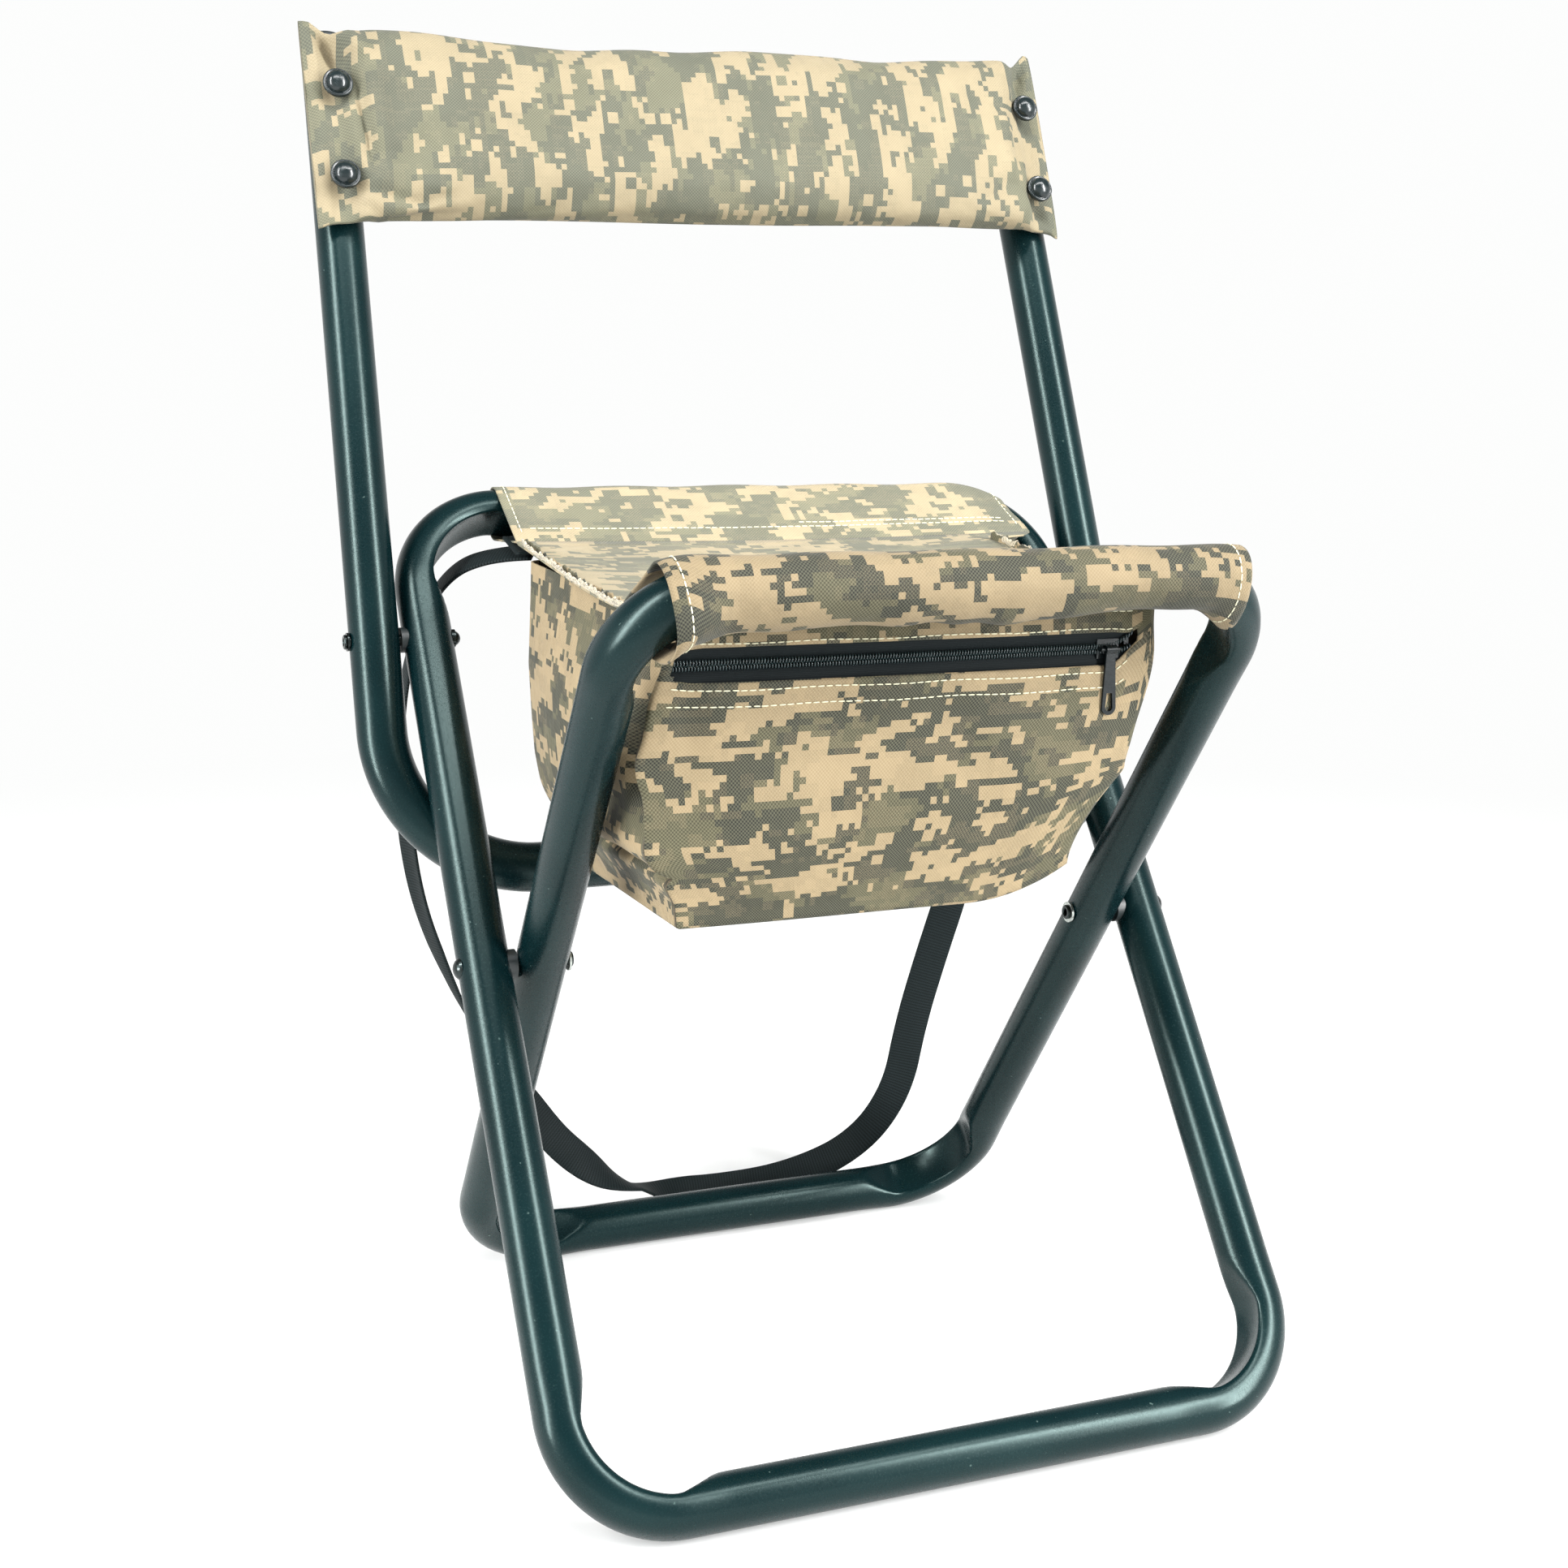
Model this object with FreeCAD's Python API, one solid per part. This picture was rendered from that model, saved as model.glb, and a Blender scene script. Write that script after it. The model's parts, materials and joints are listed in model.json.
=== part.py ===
import FreeCAD, Part
import math
import os

# Folding camp stool with a tilting back, a zipped bag under the seat and a carry strap.
# Millimetres. X runs across the seat, -Y is the front, +Z is up, z = 0 is the floor.
# Positions are worked out from the leg pivot line, which crosses x = 0 at PIVOT_Y, PIVOT_Z.

V = FreeCAD.Vector
X_AXIS = V(1, 0, 0)
Z_AXIS = V(0, 0, 1)

# Steel tube
TUBE_R = 11.0
TUBE_WALL = 1.2
SPIGOT_R = TUBE_R - TUBE_WALL
SPIGOT_HALF = 22.0

# Leg loops: centre-line lengths above and below the leg pivot
PIVOT_Y = -34.65
PIVOT_Z = 192.0
OUTER_LOWER = 227.0
OUTER_UPPER = 222.0
INNER_LOWER = 224.0
INNER_UPPER = 209.0
INNER_HALF_W = 132.0
LEG_GAP = 2.5
LOOP_BEND_R = 42.0
OUTER_HALF_W = INNER_HALF_W + TUBE_R + LEG_GAP / 2 + TUBE_R + LEG_GAP / 2
OUTER_LEAN = math.acos((PIVOT_Z - TUBE_R) / OUTER_LOWER)
INNER_LEAN = math.acos((PIVOT_Z - TUBE_R) / INNER_LOWER)

# Back hoop
BACK_PIVOT_UP = 157.0
BACK_GAP = 2.0
BACK_HALF_W = OUTER_HALF_W + 2 * TUBE_R + BACK_GAP
BACK_DROP = 106.0
BACK_RISE = 286.0
BACK_BEND_R = 64.0
BACK_TAPER = 0.018
PLUG_H = 3.4
PLUG_STEM = 14.0
PLUG_ROUND = 2.4
BACK_LEAN = OUTER_LEAN - math.radians(14.1)

# Pivot hardware: tubular rivets fixed in the outer loop
RIVET_R = 2.5
RIVET_BORE_R = 1.6
RIVET_BORE_DEPTH = 6.0
RUNNING_CLEARANCE = 0.06
AIR = 0.3
LEG_HEAD_R = 4.9
LEG_HEAD_H = 2.2
LEG_WASHER_R = 4.8
LEG_SPACER_R = 6.4
BACK_HEAD_R = 3.4
BACK_HEAD_H = 2.6
BACK_WASHER_R = 4.1
BACK_SPACER_R = 5.6
WASHER_T = 0.9
ROLL_R = 3.3
ROLL_H = 1.3
ROLL_EDGE = 0.4
HEAD_SEAT = 0.8

# Back panel
PANEL_HALF_W = 189.0
PANEL_LOW = 195.0
PANEL_HIGH = 288.0
PANEL_SKEW = 4.5
PANEL_BACK = 11.15
PANEL_T = 14.0
SCREW_LEVELS = (214.5, 259.0)
SCREW_CAP_R = 5.3
SCREW_CAP_H = 3.6
SCREW_WASHER_R = 6.7
SCREW_WASHER_T = 1.2
SCREW_R = 2.0
SCREW_START = 5.0

# Seat cloth and bag
CLOTH_T = 1.5
SLEEVE_R = 12.3
REAR_SLEEVE_LEFT = 119.0
REAR_SLEEVE_RIGHT = 143.0
FRONT_SLEEVE_LEFT = 121.0
FRONT_SLEEVE_RIGHT = 121.0
SEAT_HALF_W = 118.0
APRON_HALF_W = 88.0
SEAT_FRONT_Z = 345.5
SEAT_REAR_Z = 353.2
BAG_FRONT_Y = -86.0
BAG_REAR_Y = 76.0
BAG_REAR_HALF = 117.5
BAG_FRONT_HALF = 108.0
BAG_FLOOR_HALF = 95.0
BAG_FLOOR_Z = 226.0
BAG_WAIST_Z = 240.0
BAG_FULL_Z = 330.0
BAG_FLARE = 12.0
BAG_TOE = 5.0
BAG_FLOOR_REAR_Y = 22.0
BAG_SLOPE = [(40.0, 237.0), (64.0, 272.0), (74.0, 310.0)]
BAG_TOP_REAR_Y = 72.0
REAR_JOIN = (-12.2, -4.0)
FRONT_JOIN = (11.2, -7.2)
BINDING_W = 3.2
BINDING_T = 1.6
ZIP_LEFT_X = -103.0
ZIP_RIGHT_X = 95.0
ZIP_Z = 328.0
ZIP_SLOT_HALF = 6.5
ZIP_TAPE_GAP = 1.1
ZIP_TAPE_LAP = 3.0
ZIP_TAPE_T = 0.8
TEETH_HALF_H = 2.2
TEETH_T = 1.4
STOP_W = 2.0
STOP_H = 3.0
STOP_T = 1.6
SLIDER_X = 83.0
SLIDER_HALF = 5.0
SLIDER_HALF_H = 4.0
SLIDER_PLATE_T = 1.3
SLIDER_MOUTH = 1.9
WEDGE_HALF = 0.7
BAIL_Y = BAG_FRONT_Y - 4
BAIL_R = 0.8
BAIL_HALF = 4.4
FOOT_W = 1.4
PULL_LENGTH = 27.0
PULL_T = 1.2
PULL_HALF_TOP = 2.0
PULL_HALF_LOW = 3.2
PULL_HOLE_LOW = 1.5
PULL_HOLE_HIGH = 9.0
EYE_HALF = 2.4

# Carry strap: webbing stands in as a round tube of the same section area.
# The route is from the left rear seat corner to the right rear one, relative to the pivot line.
STRAP_R = 2.9
STRAP_ROUTE = [
    (-106, 98, 354.9), (-121, 113, 352), (-139, 132, 336), (-153, 148, 306), (-159, 152, 266),
    (-157, 153, 222), (-150, 153, 179), (-137, 153, 140), (-119, 152, 106), (-99, 154, 73),
    (-76, 155, 42), (-43, 157, 18), (0, 159, 9.5), (45, 158, 11.5), (86, 156, 26), (108, 154, 55),
    (114, 152, 92), (124, 150, 130), (136, 148, 169), (145, 148, 212), (150, 148, 258),
    (147, 146, 301), (137, 131, 336), (121, 113, 352), (106, 98, 354.9),
]
TAB_FRONT_Y = 90.0
TAB_REAR_Y = 108.0
TAB_W = 18.0
TAB_T = 1.4

PIVOT = V(0, PIVOT_Y, PIVOT_Z)
OUTER_UP = V(0, math.sin(OUTER_LEAN), math.cos(OUTER_LEAN))
INNER_UP = V(0, -math.sin(INNER_LEAN), math.cos(INNER_LEAN))
BACK_UP = V(0, math.sin(BACK_LEAN), math.cos(BACK_LEAN))
BACK_FRONT = V(0, -math.cos(BACK_LEAN), math.sin(BACK_LEAN))
BACK_PIVOT = PIVOT + OUTER_UP * BACK_PIVOT_UP


# ---------------------------------------------------------------- helpers

def export(name, shape):
    """Write one sub-part."""
    shape.exportStep("parts/" + name + ".step")


def fused(solids):
    """One solid from a list of touching solids."""
    return solids[0].multiFuse(solids[1:]).removeSplitter()


def disc(centre, direction, radius):
    """Flat round face."""
    return Part.Face(Part.Wire(Part.makeCircle(radius, centre, direction)))


def arc_start(corner, before, after, radius):
    """Directions, turn and tangent length of a bend at a corner."""
    d_in = (corner - before).normalize()
    d_out = (after - corner).normalize()
    turn = d_in.getAngle(d_out)
    return d_in, d_out, turn, radius * math.tan(turn / 2)


def tube_solid(corners, radii, tube_r, closed=False):
    """Solid rod along straight runs joined by tangent arcs."""
    count = len(corners)
    bends = range(count) if closed else range(1, count - 1)
    leave = {i: corners[i] for i in range(count)}
    arrive = dict(leave)
    pieces = []
    for i in bends:
        before, after = corners[i - 1], corners[(i + 1) % count]
        d_in, d_out, turn, reach = arc_start(corners[i], before, after, radii[i])
        arrive[i] = corners[i] - d_in * reach
        leave[i] = corners[i] + d_out * reach
        inward = (d_out - d_in * math.cos(turn)).normalize()
        centre = arrive[i] + inward * radii[i]
        axis = d_in.cross(d_out).normalize()
        pieces.append(disc(arrive[i], d_in, tube_r).revolve(centre, axis, math.degrees(turn)))
    for i in range(count if closed else count - 1):
        start, end = leave[i], arrive[(i + 1) % count]
        run = end - start
        pieces.append(Part.makeCylinder(tube_r, run.Length, start, run))
    return fused(pieces)


def hollow_tube(corners, radius, closed):
    """Steel tube with its wall."""
    radii = [radius] * len(corners)
    outside = tube_solid(corners, radii, TUBE_R, closed)
    if closed:
        return outside.cut(tube_solid(corners, radii, TUBE_R - TUBE_WALL, True))
    first = corners[0] + (corners[0] - corners[1]).normalize()
    last = corners[-1] + (corners[-1] - corners[-2]).normalize()
    bore = [first] + corners[1:-1] + [last]
    return outside.cut(tube_solid(bore, radii, TUBE_R - TUBE_WALL))


def loop_corners(half_w, up, lower, upper):
    """Centre-line corners of a leg loop."""
    low, high = PIVOT - up * lower, PIVOT + up * upper
    side = X_AXIS * half_w
    return [low - side, low + side, high + side, high - side]


def cross_hole(at, radius, reach):
    """Round bar along X through both sides, for drilling."""
    return Part.makeCylinder(radius, 2 * reach, V(-reach, at.y, at.z), X_AXIS)


def side_rod(at, radius, x_from, x_to):
    """Round bar along X between two x values, at one pivot."""
    low, high = min(x_from, x_to), max(x_from, x_to)
    return Part.makeCylinder(radius, high - low, V(low, at.y, at.z), X_AXIS)


def both_sides(solid):
    """The same solid on the left and on the right, as two solids."""
    return Part.makeCompound([solid, solid.mirror(V(0, 0, 0), X_AXIS)])


def yz_slab(points, x_from, x_to):
    """Closed outline in the YZ plane pulled along X."""
    ring = [V(x_from, y, z) for y, z in points]
    face = Part.Face(Part.makePolygon(ring + [ring[0]]))
    return face.extrude(X_AXIS * (x_to - x_from))


def ribbon_slab(line, thickness, x_from, x_to):
    """Sheet with the YZ line as its lower face."""
    upper = [(y, z + thickness) for y, z in reversed(line)]
    return yz_slab(line + upper, x_from, x_to)


def leg_rod(half_w, up, radius, sign=-1):
    """Straight bar along one leg's centre line, for saddle cuts."""
    start = PIVOT + X_AXIS * (sign * half_w) - up * 300
    return Part.makeCylinder(radius, 600, start, up)


# ---------------------------------------------------------------- frames

def outer_loop():
    """Floor bar at the front, top bar behind the seat."""
    tube = hollow_tube(loop_corners(OUTER_HALF_W, OUTER_UP, OUTER_LOWER, OUTER_UPPER), LOOP_BEND_R, True)
    tube = tube.cut(cross_hole(PIVOT, RIVET_R, 200))
    return tube.cut(cross_hole(BACK_PIVOT, RIVET_R, 200))


def inner_loop():
    """Floor bar at the rear, top bar at the seat's front edge."""
    tube = hollow_tube(loop_corners(INNER_HALF_W, INNER_UP, INNER_LOWER, INNER_UPPER), LOOP_BEND_R, True)
    return tube.cut(cross_hole(PIVOT, RIVET_R + RUNNING_CLEARANCE, 200))


def back_side(sign, level):
    """Point on an upright's centre line at a level above the back pivot."""
    return BACK_PIVOT + BACK_UP * level + X_AXIS * (sign * (BACK_HALF_W - BACK_TAPER * level))


def screw_place(sign, level):
    """Point on an upright's centre line behind a panel screw; the panel hangs a little lower on the left."""
    return back_side(sign, level + sign * PANEL_SKEW)


def back_hoop():
    """U tube, open at both upper ends."""
    corners = [back_side(-1, BACK_RISE), back_side(-1, -BACK_DROP)]
    corners += [back_side(1, -BACK_DROP), back_side(1, BACK_RISE)]
    tube = hollow_tube(corners, BACK_BEND_R, False)
    tube = tube.cut(cross_hole(BACK_PIVOT, RIVET_R + RUNNING_CLEARANCE, 220))
    for level in SCREW_LEVELS:
        for sign in (-1, 1):
            hole = Part.makeCylinder(SCREW_R, 30, screw_place(sign, level), BACK_FRONT)
            tube = tube.cut(hole)
    return tube


def joint_spigot(up, upper):
    """Short plug inside the top bar where the loop's two ends meet."""
    middle = PIVOT + up * upper
    return Part.makeCylinder(SPIGOT_R, 2 * SPIGOT_HALF, middle - X_AXIS * SPIGOT_HALF, X_AXIS)


def end_plug(sign):
    """Domed plastic plug in an upright's open end."""
    tip = back_side(sign, BACK_RISE)
    along = (tip - back_side(sign, 0)).normalize()
    stem = Part.makeCylinder(SPIGOT_R, PLUG_STEM, tip - along * PLUG_STEM, along)
    cap = Part.makeCylinder(TUBE_R, PLUG_H, tip, along)
    rim = max(cap.Edges, key=lambda e: e.CenterOfMass.dot(along))
    return fused([stem, cap.makeFillet(PLUG_ROUND, [rim])])


# ---------------------------------------------------------------- pivot hardware, left side

def turned(at, profile):
    """Solid of revolution about a pivot line, from (x, radius) points."""
    ring = [V(x, at.y, at.z + r) for x, r in profile]
    face = Part.Face(Part.makePolygon(ring + [ring[0]]))
    return face.revolve(at, X_AXIS, 360)


def dome(x_flat, direction, radius, height):
    """Points of a round head's outline, from its rim to its crown."""
    ball = (radius ** 2 + height ** 2) / (2 * height)
    half = math.asin(radius / ball)
    steps = [half * k / 5 for k in range(5, -1, -1)]
    return [(x_flat + direction * (height - ball + ball * math.cos(t)), ball * math.sin(t)) for t in steps]


def rolled_end(x_flat, direction):
    """Points of a rivet's rolled tubular end: over the washer, round, and down its bore."""
    tip = x_flat + direction * ROLL_H
    deep = tip - direction * RIVET_BORE_DEPTH
    outside = [(x_flat, ROLL_R - ROLL_EDGE), (x_flat + direction * ROLL_EDGE, ROLL_R)]
    outside += [(tip - direction * ROLL_EDGE, ROLL_R)]
    lip = [(tip, ROLL_R - ROLL_EDGE), (tip, RIVET_BORE_R + ROLL_EDGE)]
    lip.append((tip - direction * ROLL_EDGE, RIVET_BORE_R))
    return outside + lip + [(deep, RIVET_BORE_R), (deep, 0)]


def leg_rivet():
    """Rivet through an outer and an inner leg: domed head outside, rolled end inside."""
    outside = -(OUTER_HALF_W + TUBE_R)
    washer_face = -(INNER_HALF_W - TUBE_R) + AIR + WASHER_T
    profile = dome(outside + HEAD_SEAT, -1, LEG_HEAD_R, LEG_HEAD_H + HEAD_SEAT)[::-1]
    head = turned(PIVOT, profile + [(outside + HEAD_SEAT, 0)])
    head = head.cut(leg_rod(OUTER_HALF_W, OUTER_UP, TUBE_R))
    shank = [(outside - 1, 0), (outside - 1, RIVET_R), (washer_face, RIVET_R)]
    return fused([head, turned(PIVOT, shank + rolled_end(washer_face, 1))])


def leg_spacer():
    """Plastic ring between the legs, seated on the outer leg."""
    face = -(INNER_HALF_W + TUBE_R + AIR)
    ring = side_rod(PIVOT, LEG_SPACER_R, -(OUTER_HALF_W - 6), face)
    ring = ring.cut(side_rod(PIVOT, RIVET_R, -200, 0))
    return ring.cut(leg_rod(OUTER_HALF_W, OUTER_UP, TUBE_R))


def leg_washer():
    """Zinc washer on the inner leg's inside."""
    face = -(INNER_HALF_W - TUBE_R) + AIR
    return side_rod(PIVOT, LEG_WASHER_R, face, face + WASHER_T).cut(side_rod(PIVOT, RIVET_R, -200, 0))


def back_rivet():
    """Rivet through an upright and an outer leg: head inside, rolled end outside."""
    washer_face = -(BACK_HALF_W + TUBE_R + AIR + WASHER_T)
    head_face = -(OUTER_HALF_W - TUBE_R) + WASHER_T
    end = rolled_end(washer_face, -1)
    shank = [(washer_face, RIVET_R), (head_face, RIVET_R)]
    return turned(BACK_PIVOT, shank + dome(head_face, 1, BACK_HEAD_R, BACK_HEAD_H) + end[::-1])


def back_outer_washer():
    """Washer under the back rivet's rolled end."""
    face = -(BACK_HALF_W + TUBE_R + AIR)
    ring = side_rod(BACK_PIVOT, BACK_WASHER_R, face - WASHER_T, face)
    return ring.cut(side_rod(BACK_PIVOT, RIVET_R, -300, 0))


def back_spacer():
    """Plastic ring between upright and outer leg, seated on the leg."""
    face = -(BACK_HALF_W - TUBE_R - AIR)
    ring = side_rod(BACK_PIVOT, BACK_SPACER_R, face, -(OUTER_HALF_W + 5))
    ring = ring.cut(side_rod(BACK_PIVOT, RIVET_R, -300, 0))
    return ring.cut(leg_rod(OUTER_HALF_W, OUTER_UP, TUBE_R))


def back_inner_washer():
    """Washer on the outer leg's inside, shaped to the tube."""
    face = -(OUTER_HALF_W - TUBE_R)
    ring = side_rod(BACK_PIVOT, BACK_WASHER_R, face - 2, face + WASHER_T)
    ring = ring.cut(side_rod(BACK_PIVOT, RIVET_R, -300, 0))
    return ring.cut(leg_rod(OUTER_HALF_W, OUTER_UP, TUBE_R))


# ---------------------------------------------------------------- back panel

def back_panel():
    """Padded cloth panel screwed to the front of both uprights."""
    low = BACK_PIVOT + BACK_UP * PANEL_LOW + BACK_FRONT * PANEL_BACK - X_AXIS * PANEL_HALF_W
    high = BACK_UP * (PANEL_HIGH - PANEL_LOW)
    deep = BACK_FRONT * PANEL_T
    ring = [low, low + deep, low + deep + high, low + high, low]
    slab = Part.Face(Part.makePolygon(ring)).extrude(X_AXIS * (2 * PANEL_HALF_W))
    long_edges = [e for e in slab.Edges if e.BoundBox.XLength > PANEL_HALF_W]
    slab = slab.makeFillet(PANEL_T / 2 - 0.4, long_edges)
    middle = BACK_PIVOT + BACK_UP * ((PANEL_LOW + PANEL_HIGH) / 2)
    skew = math.degrees(math.atan(PANEL_SKEW / BACK_HALF_W))
    slab = slab.rotate(middle, BACK_FRONT, skew)
    for level in SCREW_LEVELS:
        for sign in (-1, 1):
            slab = slab.cut(Part.makeCylinder(SCREW_R, 40, screw_place(sign, level), BACK_FRONT))
    return slab


def panel_washer(sign, level):
    """Black washer on the panel's face."""
    start = screw_place(sign, level) + BACK_FRONT * (PANEL_BACK + PANEL_T)
    ring = Part.makeCylinder(SCREW_WASHER_R, SCREW_WASHER_T, start, BACK_FRONT)
    return ring.cut(Part.makeCylinder(SCREW_R, SCREW_WASHER_T, start, BACK_FRONT))


def panel_screw(sign, level):
    """Screw with a domed black cap, from the panel's face into the upright."""
    face = screw_place(sign, level) + BACK_FRONT * (PANEL_BACK + PANEL_T + SCREW_WASHER_T)
    shank_start = screw_place(sign, level) + BACK_FRONT * SCREW_START
    shank = Part.makeCylinder(SCREW_R, (face - shank_start).Length, shank_start, BACK_FRONT)
    cap = Part.makeCylinder(SCREW_CAP_R, SCREW_CAP_H, face, BACK_FRONT)
    top = max(cap.Edges, key=lambda e: e.CenterOfMass.dot(BACK_FRONT))
    return fused([shank, cap.makeFillet(SCREW_CAP_H * 0.75, [top])])


# ---------------------------------------------------------------- seat and bag

def sleeve(half_w, up, upper, left, right):
    """Cloth tube round a top bar, following the bar into its bends at both ends."""
    centre_line = PIVOT + up * upper
    straight = half_w - LOOP_BEND_R
    outer = [Part.makeCylinder(SLEEVE_R, 2 * straight, centre_line - X_AXIS * straight, X_AXIS)]
    inner = [Part.makeCylinder(TUBE_R, 2 * straight, centre_line - X_AXIS * straight, X_AXIS)]
    for sign, reach in ((-1, left), (1, right)):
        turn = math.asin((reach - straight) / LOOP_BEND_R)
        start = centre_line + X_AXIS * (sign * straight)
        centre = start - up * LOOP_BEND_R
        axis = X_AXIS.cross(up) * -sign
        for radius, pieces in ((SLEEVE_R, outer), (TUBE_R, inner)):
            pieces.append(disc(start, X_AXIS, radius).revolve(centre, axis, math.degrees(turn)))
    return fused(outer).cut(fused(inner))


def seat_line():
    """Lower face of the seat cloth from the bag's front to the rear sleeve."""
    rear = PIVOT + OUTER_UP * OUTER_UPPER
    front_edge = (PIVOT_Y + BAG_FRONT_Y - 1, SEAT_FRONT_Z)
    return [front_edge, (PIVOT_Y + BAG_REAR_Y, SEAT_REAR_Z), (rear.y + REAR_JOIN[0], rear.z + REAR_JOIN[1])]


def seat_panel():
    """Seat cloth between the bag's front and the rear sleeve."""
    return ribbon_slab(seat_line(), CLOTH_T, -SEAT_HALF_W, SEAT_HALF_W)


def seat_apron():
    """Seat cloth from the bag's front up to the front sleeve."""
    front = PIVOT + INNER_UP * INNER_UPPER
    line = [(front.y + FRONT_JOIN[0], front.z + FRONT_JOIN[1]), (PIVOT_Y + BAG_FRONT_Y - 1.5, SEAT_FRONT_Z)]
    return ribbon_slab(line, CLOTH_T, -APRON_HALF_W, APRON_HALF_W)


def bag_width(inset):
    """Bag's plan and front view cut from each other, as one block."""
    rear_half, front_half = BAG_REAR_HALF - inset, BAG_FRONT_HALF - inset
    rear_y, front_y = PIVOT_Y + BAG_REAR_Y, PIVOT_Y + BAG_FRONT_Y
    corners = [(-front_half, front_y), (front_half, front_y), (rear_half, rear_y), (-rear_half, rear_y)]
    plan = prism_xy(corners)
    full, waist = front_half + BAG_FLARE, front_half - 3
    left = [(-full, SEAT_REAR_Z + 40), (-full, BAG_FULL_Z), (-waist, BAG_WAIST_Z + inset)]
    left.append((inset - BAG_FLOOR_HALF, BAG_FLOOR_Z + inset))
    right = [(-x, z) for x, z in reversed(left)]
    return plan.common(prism_xz(left + right))


def bag_solid(inset):
    """Bag outline as one block: its width cut to its side profile."""
    front, floor_z, top = BAG_FRONT_Y + inset, BAG_FLOOR_Z + inset, SEAT_REAR_Z + 1 + inset
    profile = [(front, top), (front, floor_z + BAG_TOE), (front + BAG_TOE, floor_z)]
    profile += [(BAG_FLOOR_REAR_Y - inset, floor_z)] + [(y - inset, z) for y, z in BAG_SLOPE]
    profile.append((BAG_TOP_REAR_Y - inset, top))
    side = yz_slab([(PIVOT_Y + y, z) for y, z in profile], -150, 150)
    return side.common(bag_width(inset))


def prism_xy(points):
    """Closed outline in plan pulled upwards."""
    ring = [V(x, y, 200) for x, y in points]
    return Part.Face(Part.makePolygon(ring + [ring[0]])).extrude(Z_AXIS * 200)


def prism_xz(points):
    """Closed outline in front view pulled along Y."""
    ring = [V(x, -200, z) for x, z in points]
    return Part.Face(Part.makePolygon(ring + [ring[0]])).extrude(V(0, 400, 0))


def block(x0, x1, y0, y1, z0, z1):
    """Plain box between two corners, y from the pivot line."""
    return Part.makeBox(x1 - x0, y1 - y0, z1 - z0, V(x0, PIVOT_Y + y0, z0))


def bag_parts():
    """Bag walls: front with its zip slot, back, floor and two sides."""
    (y_front, z_front), (y_rear, z_rear) = seat_line()[:2]
    outline = [(y_front, z_front), (y_front, 0), (y_rear, 0), (y_rear, z_rear)]
    below_seat = yz_slab(outline, -200, 200)
    shell = bag_solid(0).cut(bag_solid(CLOTH_T)).common(below_seat)
    front_zone = block(-200, 200, BAG_FRONT_Y - 10, BAG_FRONT_Y + CLOTH_T, 0, 400)
    front = shell.common(front_zone)
    rest = shell.cut(front_zone)
    floor_half = BAG_FLOOR_HALF - CLOTH_T
    under = block(-floor_half, floor_half, BAG_FRONT_Y, BAG_REAR_Y, BAG_FLOOR_Z - 1, BAG_FLOOR_Z + CLOTH_T)
    between_sides = bag_width(CLOTH_T).fuse(under)
    middle = rest.common(between_sides)
    sides = rest.cut(between_sides)
    left = sides.common(block(-200, 0, -200, 200, 0, 400))
    right = sides.common(block(0, 200, -200, 200, 0, 400))
    floor_zone = block(-200, 200, -200, 200, 0, BAG_SLOPE[0][1])
    slot_low, slot_high = ZIP_Z - ZIP_SLOT_HALF, ZIP_Z + ZIP_SLOT_HALF
    slot = block(ZIP_LEFT_X, ZIP_RIGHT_X, BAG_FRONT_Y - 5, BAG_FRONT_Y + 5, slot_low, slot_high)
    return {
        "bag_front": front.cut(slot),
        "bag_back": middle.cut(floor_zone),
        "bag_floor": middle.common(floor_zone),
        "bag_left_side": left,
        "bag_right_side": right,
    }


def seam_binding():
    """Raw seam that joins the bag's left side to the seat cloth."""
    line = [(y, z + CLOTH_T) for y, z in seat_line()[:2]]
    return ribbon_slab(line, BINDING_T, -SEAT_HALF_W, -SEAT_HALF_W + BINDING_W)


# ---------------------------------------------------------------- zip

def zip_tape(sign):
    """One tape behind the slot, above (1) or below (-1) the teeth."""
    near, far = ZIP_TAPE_GAP, ZIP_SLOT_HALF + ZIP_TAPE_LAP
    z0, z1 = sorted((ZIP_Z + sign * near, ZIP_Z + sign * far))
    y0 = BAG_FRONT_Y + CLOTH_T
    return block(ZIP_LEFT_X - 2, ZIP_RIGHT_X + 1, y0, y0 + ZIP_TAPE_T, z0, z1)


def zip_teeth():
    """Closed coil from the left stop to the slider."""
    y0 = BAG_FRONT_Y + CLOTH_T
    start, end = ZIP_LEFT_X + 2 * STOP_W, SLIDER_X - SLIDER_HALF - 1
    return block(start, end, y0 - TEETH_T, y0, ZIP_Z - TEETH_HALF_H, ZIP_Z + TEETH_HALF_H)


def zip_stops():
    """Crimped stops: one at the left end, two at the right end."""
    y0 = BAG_FRONT_Y + CLOTH_T
    x, high = ZIP_LEFT_X + 1, TEETH_HALF_H + 0.4
    left = block(x, x + STOP_W, y0 - STOP_T, y0, ZIP_Z - high, ZIP_Z + high)
    x, low = ZIP_RIGHT_X - 1.5 - STOP_W, ZIP_TAPE_GAP + 0.2
    upper = block(x, x + STOP_W, y0 - STOP_T, y0, ZIP_Z + low, ZIP_Z + low + STOP_H)
    lower = block(x, x + STOP_W, y0 - STOP_T, y0, ZIP_Z - low - STOP_H, ZIP_Z - low)
    return Part.makeCompound([left, upper, lower])


def bail_rod(radius, half_length):
    """Round bar along X on the slider's bail line."""
    start = V(SLIDER_X - half_length, PIVOT_Y + BAIL_Y, ZIP_Z)
    return Part.makeCylinder(radius, 2 * half_length, start, X_AXIS)


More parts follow.
